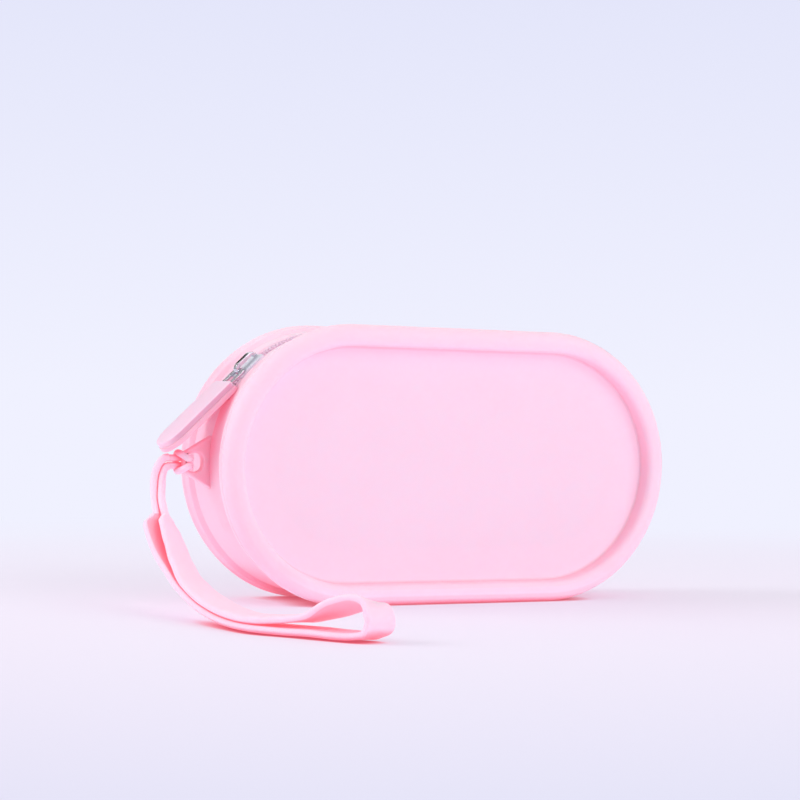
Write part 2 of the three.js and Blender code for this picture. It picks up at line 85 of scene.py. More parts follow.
# Height of the crown along the panel, as shares of its half height and of the crown
CROWN_CURVE = [(0, 1), (0.3, 0.93), (0.6, 0.68), (0.85, 0.26)]
PANEL_FILLET = 0.9 * MM
SHOULDER_Y = 10.9 * MM
SHOULDER_TOP = 1.2 * MM
SHOULDER_FOOT = 0.3 * MM
SHOULDER_RADIUS = 1.1 * MM
SHOULDER_FILLET = 0.5 * MM
WALL = 2 * MM
LINING_CROWN = 0.8
LINING_CORNER = 2.5 * MM
LIP = 4.4 * MM
INNER_LIP = 3.2 * MM
LIP_DEPTH = 4.1 * MM
LIP_ROOT_Y = 7.6 * MM
LIP_ROOT_RADIUS = 1 * MM
LIP_END_Y = 6.2 * MM
LIP_END_RADIUS = 0.8 * MM
LIP_ROUND = 0.7 * MM
RECESS_MARGIN = 0.3 * MM
RECESS_WALL_WIDTH = 1.6 * MM
# Heights on the recess wall, as shares of the recess: where its painted shade starts, where it has faded
# out, and over how much it fades
WALL_SHADE_FOOT = 0.03
WALL_SHADE_TOP = 0.9
WALL_SHADE_FADE = 0.35
END_COLUMNS = 64
STRAIGHT_COLUMNS = 22
SLOT_END_COLUMN = 10
SLOT_END = math.pi * SLOT_END_COLUMN / END_COLUMNS
SLOT_END_NEAR = 0.004

# Zip
ZIP_END = math.radians(28.4)
TAPE_SINK = 0.4 * MM
TAPE_THICKNESS = 0.8 * MM
TAPE_EDGE = 4.1 * MM
TAPE_INNER = 0.3 * MM
TAPE_ROUND = 0.2 * MM
TAPE_UPPER_SLOPE = 0.3 * MM
TAPE_LOWER_SLOPE = 0.4 * MM
TAPE_COLUMNS = 32
TOOTH_PITCH = 1.3 * MM
TOOTH_LENGTH = 1.75 * MM
TOOTH_WIDTH = 0.85 * MM
TOOTH_HEIGHT = 0.9 * MM
TOOTH_GAP = 0.14 * MM
TOOTH_ROUND = 0.3 * TOOTH_WIDTH
TOOTH_BEAD = (1.2, 1, 1.1)
TOOTH_CLEARANCE = 0.15 * MM
STOP_SIZE = (2.2 * MM, 3.8 * MM, 0.9 * MM)
STOP_ROUND = 0.3 * MM
STOP_AHEAD = 0.03

# Slider and pull
SLIDER_ANGLE = math.radians(46)
SLIDER_LENGTH = 10 * MM
SLIDER_WIDTH = 7.6 * MM
SLIDER_PLATE = 0.9 * MM
PLATE_CORNER = 1.8 * MM
PLATE_NARROWING = 0.86
PLATE_EDGE = 0.02 * MM
PLATE_ROUND = 0.22 * MM
SLIDER_DROP = 4.1 * MM
SLIDER_LIFT = 0.45 * MM
BRIDGE_LENGTH = 8.8 * MM
BRIDGE_RISE = 3.2 * MM
BRIDGE_BAR = 1.25 * MM
BRIDGE_FOOT = 0.95 * MM
BRIDGE_WIDTH = 2.2 * MM
BRIDGE_MOUTH = 0.5 * MM
BRIDGE_BACK_RADIUS = 2.3 * MM
BRIDGE_NOSE_RADIUS = 2 * MM
BRIDGE_ROUND = 0.42 * MM
ARCH_BACK_RADIUS = 1 * MM
ARCH_NOSE_RADIUS = 0.8 * MM
NECK_LENGTH = 5 * MM
NECK_WIDTH = 0.9 * MM
NECK_ROUND = 0.2 * MM
NECK_ALONG = 1.5 * MM
PIVOT_ALONG = 2.5 * MM
PIVOT_RISE = 0.95 * MM
LINK_WIRE = 1.2 * MM
LINK_WIDTH = 7.2 * MM
LINK_REACH = 6.5 * MM
LINK_SET = 4 * MM
PULL_LEAN = math.radians(0.5)
TAB_LENGTH = 28.5 * MM
TAB_WIDTH = 13 * MM
TAB_TOP = 1.4 * MM
TAB_BOTTOM = -2 * MM
TAB_STEP = 0.25 * MM
TAB_CORNER = 1.6 * MM
TAB_ROUNDNESS = 0.999
TAB_EDGE = 0.45 * MM
TAB_PARTING_EDGE = 0.2 * MM

# Lug, knot and strap
LUG_BASE = 17 * MM
LUG_TIP = 6 * MM
LUG_REACH = 8.7 * MM
LUG_THICKNESS = 3 * MM
LUG_NOSE_BACK = 0.7 * MM
LUG_NOSE_RADIUS = 1.2 * MM
LUG_ROOT = 0.6 * MM
LUG_EDGE = 0.6 * MM
LUG_BAR = 0.9 * MM
HOLE_LENGTH = 5.3 * MM
HOLE_CORNER = 2.2 * MM
HOLE_HEIGHT = 5.8 * MM
FIT = 0.3 * MM
CORD = 2.3 * MM
KNOT_CORD = 2.1 * MM
BAND_WIDTH = 10.5 * MM
BAND_THICKNESS = 2 * MM
LUG_TIP_X = LEFT_X - (END_RADIUS - RIM_STEP) - LUG_REACH
LUG_NOSE_X = LUG_TIP_X + LUG_NOSE_BACK
HITCH_Y = LUG_THICKNESS / 2 + FIT + CORD / 2
STRAP_EXIT = Vector((LUG_TIP_X - 2 * FIT - CORD, HITCH_Y, MID_Z))

# Places closer than this are the same place
SAME = 1e-6


# Camera

CAMERA_FROM_MIDDLE = Vector((-331.643, -603.878, 65.345)) * MM
CAMERA_TURN = [math.radians(angle) for angle in (89.824, -1.4563, -27.9615)]
CAMERA_LENS = 96.906
CAMERA_SENSOR = 36
CAMERA_NEAREST = 0.01


def make_camera():
    place = CAMERA_FROM_MIDDLE + Vector((MID_X, 0, 0))
    bpy.ops.object.camera_add(location=place, rotation=CAMERA_TURN)
    camera = bpy.context.object
    camera.data.lens = CAMERA_LENS
    camera.data.sensor_width = CAMERA_SENSOR
    camera.data.clip_start = CAMERA_NEAREST
    bpy.context.scene.camera = camera


# Modelling helpers

def select_none():
    bpy.ops.object.select_all(action="DESELECT")


def take_up(piece):
    """Makes the piece the only selected one, for the next operator."""
    select_none()
    piece.select_set(True)
    bpy.context.view_layer.objects.active = piece


def begin_edit(piece):
    take_up(piece)
    bpy.ops.object.mode_set(mode="EDIT")


def end_edit():
    bpy.ops.object.mode_set(mode="OBJECT")


def pick_verts(piece, test):
    """Selects, in edit mode, the vertices whose place passes the test, and what lies between them."""
    bpy.ops.mesh.select_mode(type="VERT")
    bpy.ops.mesh.select_all(action="DESELECT")
    mesh = bmesh.from_edit_mesh(piece.data)
    for vert in mesh.verts:
        vert.select = test(vert.co)
    mesh.select_flush_mode()
    bmesh.update_edit_mesh(piece.data)


def pick_faces(piece, test):
    """Selects, in edit mode, only the faces whose centre passes the test."""
    bpy.ops.mesh.select_mode(type="FACE")
    bpy.ops.mesh.select_all(action="DESELECT")
    mesh = bmesh.from_edit_mesh(piece.data)
    for face in mesh.faces:
        face.select = test(face.calc_center_median())
    mesh.select_flush_mode()
    bmesh.update_edit_mesh(piece.data)


def pick_edges(piece, test):
    """Selects, in edit mode, only the edges that pass the test."""
    bpy.ops.mesh.select_mode(type="EDGE")
    bpy.ops.mesh.select_all(action="DESELECT")
    mesh = bmesh.from_edit_mesh(piece.data)
    for edge in mesh.edges:
        edge.select = test(edge)
    mesh.select_flush_mode()
    bmesh.update_edit_mesh(piece.data)


def draw_path(name, points, closed=False):
    """A wire through the points, drawn by extruding one vertex; stays in edit mode, all selected."""
    select_none()
    bpy.ops.mesh.primitive_plane_add(size=MM, location=(0, 0, 0))
    piece = bpy.context.object
    piece.name = name
    begin_edit(piece)
    bpy.ops.mesh.select_mode(type="VERT")
    bpy.ops.mesh.select_all(action="SELECT")
    bpy.ops.mesh.merge(type="CENTER")
    bpy.ops.transform.translate(value=points[0])
    for before, after in zip(points, points[1:]):
        bpy.ops.mesh.extrude_vertices_move(TRANSFORM_OT_translate={"value": after - before})
    if closed:
        ends = (points[0], points[-1])
        pick_verts(piece, lambda co: min((co - end).length for end in ends) < SAME / 10)
        bpy.ops.mesh.edge_face_add()
    bpy.ops.mesh.select_all(action="SELECT")
    return piece


def extrude_outline(name, points, reach):
    """A closed plate with the outline of the points, extruded by the reach."""
    plate = draw_path(name, points, closed=True)
    bpy.ops.mesh.edge_face_add()
    bpy.ops.mesh.extrude_region_move(TRANSFORM_OT_translate={"value": reach})
    end_edit()
    tidy_normals(plate)
    return plate


def rounded_path(corners, steps=6, closed=False):
    """Flat points through corners given as (a, b, radius), with an arc at each corner that has a radius."""
    path = []
    count = len(corners)
    for i, (a, b, radius) in enumerate(corners):
        here = Vector((a, b))
        if radius == 0 or (not closed and i in (0, count - 1)):
            path.append(here)
            continue
        back = (Vector(corners[i - 1][:2]) - here).normalized()
        ahead = (Vector(corners[(i + 1) % count][:2]) - here).normalized()
        half = back.angle(ahead) / 2
        centre = here + (back + ahead).normalized() * (radius / math.sin(half))
        start = here + back * (radius / math.tan(half)) - centre
        side = 1 if back.x * ahead.y - back.y * ahead.x < 0 else -1
        for k in range(steps + 1):
            turn = side * (math.pi - 2 * half) * k / steps
            path.append(centre + Matrix.Rotation(turn, 2) @ start)
    return path


def apply_modifier(piece, kind, **settings):
    take_up(piece)
    modifier = piece.modifiers.new(kind.title(), kind)
    for name, value in settings.items():
        setattr(modifier, name, value)
    bpy.ops.object.modifier_apply(modifier=modifier.name)


def settle(piece):
    """Puts the piece's place, turn and scale into its mesh."""
    take_up(piece)
    bpy.ops.object.transform_apply(location=True, rotation=True, scale=True)


def smooth(piece, angle):
    take_up(piece)
    bpy.ops.object.shade_smooth_by_angle(angle=math.radians(angle))


def join(pieces, name):
    select_none()
    for piece in pieces:
        piece.select_set(True)
    bpy.context.view_layer.objects.active = pieces[0]
    bpy.ops.object.join()
    joined = bpy.context.object
    joined.name = name
    return joined


def tidy_normals(piece):
    begin_edit(piece)
    bpy.ops.mesh.select_all(action="SELECT")
    bpy.ops.mesh.remove_doubles(threshold=SAME)
    bpy.ops.mesh.normals_make_consistent(inside=False)
    end_edit()


def dress(piece, material, body=None, nodes=()):
    piece.data.materials.clear()
    piece.data.materials.append(material)
    if nodes:
        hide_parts(*nodes)
    if body:
        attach(piece, body)
    return piece


# Material helpers

# Reaches and ranges of the painted shade on the silicone, and how pale the painted gusset may get at most
SHADE_SAMPLES = 16
FLOOR_SHADE_REACH = 16 * MM
FLOOR_SHADE = (0.2, 0.68)
LUG_SHADE_REACH = 30 * MM
LUG_SHADE = (0.3, 0.82)
LUG_SHADE_EDGE = (-1.9 * MM, -1.3 * MM)
GUSSET_PALEST = 0.77
# Strengths of the painted glow in closed-in places and of the painted light bounced up from the floor
PAINTED_GLOW = 0.1
PAINTED_BOUNCE = 0.18
# Reach and strength of the painted fill glow on the panels near the recess walls
PANEL_SHADE_REACH = 12 * MM
PANEL_FILL = 0.3
# How much of the lit colour the recess walls keep under their painted shade
WALL_SHADE = 0.68
# How much of the lit colour the strap's inner faces keep under their painted shade
STRAP_INSIDE_SHADE = 0.62
CLOUD_SHARE = 0.14
CLOUD_SCALE = 38
BLOOM_SCALE = 420
GRAIN_SCALE = 2600
BRUSH_SCALE = (900, 5000, 900)
WEAR_SCALE = 900
FLECK_SCALE = 1500
FIBRE_SCALE = 300
BUMP_HEIGHT = 0.1 * MM
WEAVE_HEIGHT = 0.2 * MM
WEAVE_SCALE = 420


def srgb(red, green, blue):
    def linear(value):
        share = value / 255
        return share / 12.92 if share <= 0.04045 else ((share + 0.055) / 1.055) ** 2.4
    return (linear(red), linear(green), linear(blue), 1)


def new_material(name):
    material = bpy.data.materials.new(name)
    material.use_nodes = True
    tree = material.node_tree
    return material, tree, tree.nodes["Principled BSDF"]


def add_node(tree, kind, settings=None, **inputs):
    node = tree.nodes.new(kind)
    for name, value in (settings or {}).items():
        setattr(node, name, value)
    for name, value in inputs.items():
        socket = node.inputs[name.replace("_", " ")]
        if isinstance(value, bpy.types.NodeSocket):
            tree.links.new(value, socket)
        else:
            socket.default_value = value
    return node


def mix_colours(tree, factor, first, second):
    node = tree.nodes.new("ShaderNodeMix")
    node.data_type = "RGBA"
    for name, value in (("Factor_Float", factor), ("A_Color", first), ("B_Color", second)):
        socket = next(entry for entry in node.inputs if entry.identifier == name)
        if isinstance(value, bpy.types.NodeSocket):
            tree.links.new(value, socket)
        else:
            socket.default_value = value
    return next(entry for entry in node.outputs if entry.identifier == "Result_Color")


def map_range(tree, value, low, high, to_low, to_high):
    node = add_node(tree, "ShaderNodeMapRange", Value=value)
    node.inputs["From Min"].default_value = low
    node.inputs["From Max"].default_value = high
    node.inputs["To Min"].default_value = to_low
    node.inputs["To Max"].default_value = to_high
    return node.outputs["Result"]


def two_values(tree, operation, first, second):
    node = add_node(tree, "ShaderNodeMath", {"operation": operation})
    tree.links.new(first, node.inputs[0])
    tree.links.new(second, node.inputs[1])
    return node.outputs["Value"]


def absolute(tree, value):
    node = add_node(tree, "ShaderNodeMath", {"operation": "ABSOLUTE"})
    tree.links.new(value, node.inputs[0])
    return node.outputs["Value"]


def mix_shaders(tree, factor, first, second):
    node = tree.nodes.new("ShaderNodeMixShader")
    for socket, value in zip(node.inputs, (factor, first, second)):
        tree.links.new(value, socket)
    return node.outputs["Shader"]


def object_place(tree):
    return add_node(tree, "ShaderNodeTexCoord").outputs["Object"]


def open_air(tree, reach):
    """How little of the space within the reach of a place is filled."""
    node = add_node(tree, "ShaderNodeAmbientOcclusion", {"samples": SHADE_SAMPLES}, Distance=reach)
    return node.outputs["AO"]


def noise(tree, place, scale, detail):
    node = add_node(tree, "ShaderNodeTexNoise", Vector=place, Scale=scale, Detail=detail)
    return node.outputs["Fac"]


def attribute(tree, name):
    return add_node(tree, "ShaderNodeAttribute", {"attribute_name": name}).outputs["Fac"]


def finish_surface(tree, shader, colour, rough, height, strength, depth=BUMP_HEIGHT):
    """Gives the shader its colour, its roughness and a fine relief."""
    bump = add_node(tree, "ShaderNodeBump", Height=height, Strength=strength, Distance=depth)
    tree.links.new(colour, shader.inputs["Base Color"])
    tree.links.new(rough, shader.inputs["Roughness"])
    tree.links.new(bump.outputs["Normal"], shader.inputs["Normal"])


def gusset_shade(tree, place, painted_light_share):
    """Paints shade on the flat between the rims and on the rear half, deepest where tab, lug, knot and floor
    keep light away; only the front rim and panel and the top get the full pale colour.
    """
    at = add_node(tree, "ShaderNodeSeparateXYZ", Vector=place)
    by_floor = map_range(tree, open_air(tree, FLOOR_SHADE_REACH), *FLOOR_SHADE, 0, GUSSET_PALEST)
    by_lug = map_range(tree, open_air(tree, LUG_SHADE_REACH), *LUG_SHADE, 0, GUSSET_PALEST)
    under_lug = MID_Z / 2
    at_lug = MID_Z * 0.8
    low_down = map_range(tree, at.outputs["Z"], under_lug, at_lug, GUSSET_PALEST, 0)
    high_up = map_range(tree, at.outputs["Z"], under_lug, at_lug, 0, GUSSET_PALEST)
    behind_lug = map_range(tree, at.outputs["Y"], *LUG_SHADE_EDGE, 0, GUSSET_PALEST)
    away_from_lug = two_values(tree, "MAXIMUM", low_down, behind_lug)
    beside_lug = two_values(tree, "MAXIMUM", by_lug, away_from_lug)
    near_floor = two_values(tree, "MAXIMUM", by_floor, high_up)
    lit = two_values(tree, "MINIMUM", beside_lug, near_floor)
    on_front = map_range(tree, at.outputs["Y"], -SHOULDER_Y - MM, -SHOULDER_Y + MM, 1, 0)
    near_top = MID_Z * 1.3
    at_top = MID_Z * 1.8
    on_top = map_range(tree, at.outputs["Z"], near_top, at_top, 0, 1)
    palest = two_values(tree, "MAXIMUM", on_front, on_top)
    return two_values(tree, "MINIMUM", painted_light_share, two_values(tree, "MAXIMUM", lit, palest))


def recess_shade(tree, painted_light_share):
    """Paints shade on the wall that goes down from the rim to the panel."""
    off_wall = map_range(tree, attribute(tree, "recess_wall_shade"), 0, 1, 1, WALL_SHADE)
    return two_values(tree, "MINIMUM", painted_light_share, off_wall)


def panel_fill(tree, sideways):
    """Painted fill light: a pale glow on the flat panels near the recess walls that lifts their shade, so
    that the recess stays pale.
    """
    shaded = map_range(tree, open_air(tree, PANEL_SHADE_REACH), 0.3, 1, PANEL_FILL, 0)
    flat = map_range(tree, sideways, 0.95, 0.99, 0, 1)
    return two_values(tree, "MULTIPLY", shaded, flat)


def strap_inside(tree, painted_light_share):
    """Paints shade on the face of the band that looks into the strap's loop, where the other leg keeps light
    away.
    """
    outer = map_range(tree, attribute(tree, "inner_face"), 0, 1, 1, STRAP_INSIDE_SHADE)
    return two_values(tree, "MULTIPLY", painted_light_share, outer)


def silicone(name, pale, deep, shade_reach, shut, free, roughness, shading=None, wall=None):
    """Soft moulded silicone with painted light: its lit colour where light reaches it, a deeper and redder
    painted shade where it is closed in, and a painted glow.
    """
    material, tree, shader = new_material(name)
    place = object_place(tree)
    # Painted shade: how much of the lit colour each place keeps, from how closed in it is; the rest is the
    # deep shade colour
    painted_light_share = map_range(tree, open_air(tree, shade_reach), shut, free, 0, 1)
    if shading == "body":
        painted_light_share = recess_shade(tree, gusset_shade(tree, place, painted_light_share))
    if shading == "strap":
        painted_light_share = strap_inside(tree, painted_light_share)
    facing = add_node(tree, "ShaderNodeTexCoord").outputs["Normal"]
    looks = add_node(tree, "ShaderNodeSeparateXYZ", Vector=facing)
    sideways = absolute(tree, looks.outputs["Y"])
    cloudy = map_range(tree, noise(tree, place, CLOUD_SCALE, 3), 0.3, 0.7, 0, CLOUD_SHARE)
    dusky = [0.75 * a + 0.25 * b for a, b in zip(pale, deep)]
    tinted = mix_colours(tree, cloudy, pale, dusky)
    # Painted shade on the sides: the darker wall colour on faces that look to the front or rear
    if wall:
        tinted = mix_colours(tree, map_range(tree, sideways, 0.6, 0.95, 0, 1), tinted, wall)
    # Paints the shade: the deep colour where closed in, the lit colour where open
    colour = mix_colours(tree, painted_light_share, deep, tinted)
    # Painted glow: a pink emission that brightens closed-in places as if lit through the silicone, and faces
    # that look down as if lit by the floor
    through = map_range(tree, painted_light_share, 0, 1, PAINTED_GLOW, 0)
    painted_floor_bounce = map_range(tree, looks.outputs["Z"], -1, 0, PAINTED_BOUNCE, 0)
    glow = two_values(tree, "ADD", through, painted_floor_bounce)
    if shading == "body":
        glow = two_values(tree, "ADD", glow, panel_fill(tree, sideways))
    shader.inputs["Emission Color"].default_value = srgb(255, 176, 196)
    tree.links.new(glow, shader.inputs["Emission Strength"])
    bloom = noise(tree, place, BLOOM_SCALE, 4)
    rough = map_range(tree, bloom, 0.25, 0.75, roughness - 0.06, roughness + 0.08)
    finish_surface(tree, shader, colour, rough, noise(tree, place, GRAIN_SCALE, 2), 0.1)
    shader.inputs["Subsurface Weight"].default_value = 0.5
    shader.inputs["Subsurface Radius"].default_value = (1, 0.35, 0.4)
    shader.inputs["Subsurface Scale"].default_value = 4 * MM
    shader.inputs["Specular IOR Level"].default_value = 0.35
    shader.inputs["Sheen Weight"].default_value = 0.12
    shader.inputs["Sheen Roughness"].default_value = 0.5
    return material


def zip_metal(name, pale, deep, smoothest, roughest, metallic):
    """Plated zinc with faint brush marks and slight wear."""
    material, tree, shader = new_material(name)
    place = object_place(tree)
    brush = add_node(tree, "ShaderNodeMapping", Vector=place, Scale=BRUSH_SCALE)
    streak = noise(tree, brush.outputs["Vector"], 1, 3)
    tone = map_range(tree, noise(tree, place, WEAR_SCALE, 4), 0.3, 0.7, 0, 1)
    colour = mix_colours(tree, tone, pale, deep)
    rough = map_range(tree, streak, 0.3, 0.7, smoothest, roughest)
    finish_surface(tree, shader, colour, rough, streak, 0.04)
    shader.inputs["Metallic"].default_value = metallic
    return material


def zip_tape_fabric():
    """A fine plain weave of warp and weft."""
    material, tree, shader = new_material("woven_zip_tape")
    place = object_place(tree)
    warp, weft = (
        add_node(tree, "ShaderNodeTexWave", {"bands_direction": way}, Vector=place, Scale=WEAVE_SCALE)
        for way in ("Y", "X")
    )
    weave = two_values(tree, "MULTIPLY", warp.outputs["Fac"], weft.outputs["Fac"])
    colour = mix_colours(tree, weave, srgb(244, 192, 216), srgb(252, 212, 231))
    rough = map_range(tree, weave, 0, 1, 0.92, 0.78)
    finish_surface(tree, shader, colour, rough, weave, 0.5, WEAVE_HEIGHT)
    shader.inputs["Sheen Weight"].default_value = 0.3
    return material


def zip_nylon(name, pale, deep):
    """Moulded nylon with fine flecks."""
    material, tree, shader = new_material(name)
    fleck = noise(tree, object_place(tree), FLECK_SCALE, 3)
    colour = mix_colours(tree, map_range(tree, fleck, 0.3, 0.7, 0, 1), pale, deep)
    rough = map_range(tree, fleck, 0.3, 0.7, 0.32, 0.5)
    finish_surface(tree, shader, colour, rough, fleck, 0.15)
    shader.inputs["Subsurface Weight"].default_value = 0.1
    shader.inputs["Subsurface Scale"].default_value = 1 * MM
    return material


# For each silicone the first colour is its lit colour and the second the deep colour of its painted shade
BODY_SILICONE = silicone(
    "body_silicone", srgb(252, 213, 231), srgb(246, 142, 170),
    shade_reach=4 * MM, shut=0.06, free=0.5, roughness=0.5, shading="body",
)
# A copy for the lug with a wider, stronger painted shade, for the shade that the body, tab and knot cast on
# it
LUG_SILICONE = silicone(
    "lug_silicone", srgb(255, 204, 221), srgb(255, 154, 180),
    shade_reach=10 * MM, shut=0.2, free=0.9, roughness=0.5,
)
STRAP_SILICONE = silicone(
    "strap_silicone", srgb(253, 213, 232), srgb(255, 126, 150),
    shade_reach=7 * MM, shut=0.22, free=0.66, roughness=0.48, shading="strap",
)
# The tab's top in its lit colour, its sides in a darker painted shade colour
PULL_SILICONE = silicone(
    "pull_silicone", srgb(242, 205, 226), srgb(236, 158, 186),
    shade_reach=4 * MM, shut=0.2, free=0.75, roughness=0.42, wall=srgb(222, 170, 196),
)
# A pinker, darker copy of the tab silicone for its lower half: painted shade on the tab's underside
PULL_UNDER_SHADED = silicone(
    "pull_under_shaded_silicone", srgb(250, 190, 210), srgb(248, 150, 176),
    shade_reach=4 * MM, shut=0.2, free=0.75, roughness=0.46,
)
ZIP_METAL = zip_metal("polished_zip_metal", srgb(226, 224, 232), srgb(202, 200, 210), 0.08, 0.2, 1)
PLATE_METAL = zip_metal("satin_slider_plate", srgb(238, 241, 250), srgb(224, 228, 240), 0.35, 0.5, 0.3)
ZIP_TAPE = zip_tape_fabric()
ZIP_NYLON = zip_nylon("zip_teeth_nylon", srgb(242, 210, 230), srgb(218, 176, 202))
# The stops get a pink nylon look in place of metal: a painted reflection of the pink pouch round them
STOP_PINK_REFLECTION = zip_nylon("zip_stop_painted_reflection", srgb(246, 172, 196), srgb(232, 148, 176))


# Wrist strap

# Stations of the two legs lying together, in mm: x and y from where the strap leaves its knot, height,
# direction to the left leg, half gap, sideways half offset, turn of the left leg's face and width
CORD_HALF_GAP = 1.5
BAND_HALF_GAP = 1.5
BAND_CLOSING_HALF = 1.25
BAND_LYING_HALF = 1.1
STRAP_PAIR = [
    (-0.3, -1.3, 43, 0, 0, 1, 1.35, 0, 0, 2.8),
    (-1.45, -1.3, 42.7, -0.1, 0.1, 1, 1.4, 0, 0, 2.8),
    (-3.1, -1.8, 40.5, -0.4, 0.3, 0.85, 1.45, 0, 0, 2.7),
    (-4.4, -3.6, 36.6, -0.55, 0.65, 0.5, CORD_HALF_GAP, 0, 0, 2.3),
    (-5.7, -7.4, 32.2, -0.4, 0.9, 0.1, CORD_HALF_GAP, 0, 0, 2.3),
    (-6.6, -12.3, 27.7, -0.45, 0.88, 0, CORD_HALF_GAP, 0.1, 0, 2.3),
    (-6.9, -14.2, 26, -0.48, 0.86, 0, BAND_HALF_GAP, 0.3, 0.25, 6.5),
    (-7.2, -16.4, 24.1, -0.5, 0.86, -0.1, BAND_HALF_GAP, 0.5, 0.38, 10.2),
    (-7.6, -23.5, 18.2, -0.48, 0.78, -0.35, BAND_HALF_GAP, 0.4, 0.28, 10.5),
    (-7.9, -32, 12.8, -0.4, 0.68, -0.6, BAND_CLOSING_HALF, 0.2, 0.1, 10.5),
    (-8, -43, 8.3, -0.22, 0.42, -0.88, BAND_LYING_HALF, 0, 0, 10.5),
    (-7.3, -56, 4.9, -0.1, 0.17, -0.98, BAND_LYING_HALF, 0, 0, 10.5),
    (-6, -68, 3.1, -0.05, 0.08, -1, BAND_LYING_HALF, 0, 0, 10.5),
    (-4.2, -79, 2.8, -0.02, 0.04, -1, BAND_LYING_HALF, 0, 0, 10.5),
]
# Stations round the open end, from the left leg to the right leg, with the way the outer face looks
STRAP_LOOP = [
    (1.2, -86.8, 1.55, 0, 0.02, -1),
    (5.9, -94.2, 1.7, 0, 0, -1),
    (10.9, -102.2, 1.6, 0.03, -0.05, -1),
    (14.8, -107.6, 2.1, 0.22, -0.48, -0.85),
    (16.2, -109.9, 4.6, 0.27, -0.95, -0.12),
    (15.9, -109.4, 8, 0.32, -0.9, 0.28),
    (13.7, -106.2, 10.6, 0.38, -0.08, 0.92),
    (9.6, -99, 8.6, 0.1, 0.58, 0.81),
    (5.2, -91.8, 5.3, -0.14, 0.44, 0.89),
    (0.6, -84.9, 4.3, -0.08, 0.13, 0.98),
]
STRAP_STEPS = 8
STRAP_SIDES = 28
FLAT_INNER_FACE = -0.95


def strap_stations():
    """Places, outward directions and widths along the strap: left leg out, open end, right leg back."""
    def place(x, y, height):
        return Vector((STRAP_EXIT.x + x * MM, STRAP_EXIT.y + y * MM, height * MM))

    def leg(side):
        stations = []
        for x, y, height, nx, ny, nz, gap, slide, turn, width in STRAP_PAIR:
            away = Vector((nx, ny, nz)).normalized() * side
            face = Vector((nx + turn, ny, nz)).normalized() if side > 0 else away
            stations.append((place(x - side * slide, y, height) + away * gap * MM, face, width * MM))
        return stations

    loop = [
        (place(x, y, height), Vector((nx, ny, nz)).normalized(), BAND_WIDTH)
        for x, y, height, nx, ny, nz in STRAP_LOOP
    ]
    return leg(1) + loop + leg(-1)[::-1]


def smooth_line(points, steps):
    """Places along one smooth curve through the points, with the same number of steps on each stretch."""
    line = []
    for i in range(len(points) - 1):
        p1, p2 = points[i], points[i + 1]
        p0 = points[i - 1] if i else p1 * 2 - p2
        p3 = points[i + 2] if i + 2 < len(points) else p2 * 2 - p1
        d0 = math.sqrt((p1 - p0).length)
        d1 = math.sqrt((p2 - p1).length)
        d2 = math.sqrt((p3 - p2).length)
        t1 = ((p1 - p0) / d0 - (p2 - p0) / (d0 + d1) + (p2 - p1) / d1) * d1
        t2 = ((p2 - p1) / d1 - (p3 - p1) / (d1 + d2) + (p3 - p2) / d2) * d1
        for k in range(steps):
            s = k / steps
            square = (p2 * 3 - p1 * 3 - t1 * 2 - t2) * s ** 2
            cube = (p1 * 2 - p2 * 2 + t1 + t2) * s ** 3
            line.append(p1 + t1 * s + square + cube)
    line.append(points[-1])
    return line


def ease(share):
    return share * share * (3 - 2 * share)


def band_section(width, thickness, sides):
    """A flat section with full round edges, as (across, out) pairs."""
    flat = (width - thickness) / 2
    section = []
    for k in range(sides):
        turn = 2 * math.pi * (k + 0.5) / sides
        side = flat if math.cos(turn) > 0 else -flat
        section.append((side + math.cos(turn) * thickness / 2, math.sin(turn) * thickness / 2))
    return section


def strap_rings(stations, line):
    """The band's section at each place of the line, from a round cord to a flat band."""
    rings = []
    for i, point in enumerate(line):
        before = min(i // STRAP_STEPS, len(stations) - 2)
        share = ease(i / STRAP_STEPS - before)
        _, face, width = stations[before]
        _, next_face, next_width = stations[before + 1]
        along = (line[min(i + 1, len(line) - 1)] - line[max(i - 1, 0)]).normalized()
        face = face.lerp(next_face, share)
        face = (face - along * face.dot(along)).normalized()
        across = along.cross(face)
        width = width + (next_width - width) * share
        flatness = min(1, max(0, (width - CORD) / (BAND_WIDTH - CORD)))
        thickness = CORD + (BAND_THICKNESS - CORD) * flatness
        section = band_section(width, thickness, STRAP_SIDES)
        rings.append([point + across * a + face * b for a, b in section])
    return rings


def make_strap():
    stations = strap_stations()
    line = smooth_line([place for place, _, _ in stations], STRAP_STEPS)
    verts = [vert for ring in strap_rings(stations, line) for vert in ring]
    faces = []
    for start in range(0, len(verts) - STRAP_SIDES, STRAP_SIDES):
        for k in range(STRAP_SIDES):
            a = start + k
            b = start + (k + 1) % STRAP_SIDES
            faces.append((a, b, b + STRAP_SIDES, a + STRAP_SIDES))
    faces.append(tuple(range(STRAP_SIDES))[::-1])
    faces.append(tuple(range(len(verts) - STRAP_SIDES, len(verts))))
    mesh = bpy.data.meshes.new("wrist_strap_band")
    mesh.from_pydata(verts, [], faces)
    # Marks the faces on the band's inner side, which get painted shade
    inner = mesh.attributes.new("inner_face", "FLOAT", "FACE")
    for i, entry in enumerate(inner.data):
        turn = 2 * math.pi * (i % STRAP_SIDES + 1) / STRAP_SIDES
        entry.value = 1 if math.sin(turn) < FLAT_INNER_FACE else 0
    strap = bpy.data.objects.new("wrist_strap_band", mesh)
    bpy.context.collection.objects.link(strap)
    tidy_normals(strap)
    smooth(strap, 60)
    dress(strap, STRAP_SILICONE, nodes=["wrist_strap"])
    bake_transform(strap)


WIRE_STEPS = 6
WIRE_ROUNDNESS = 6


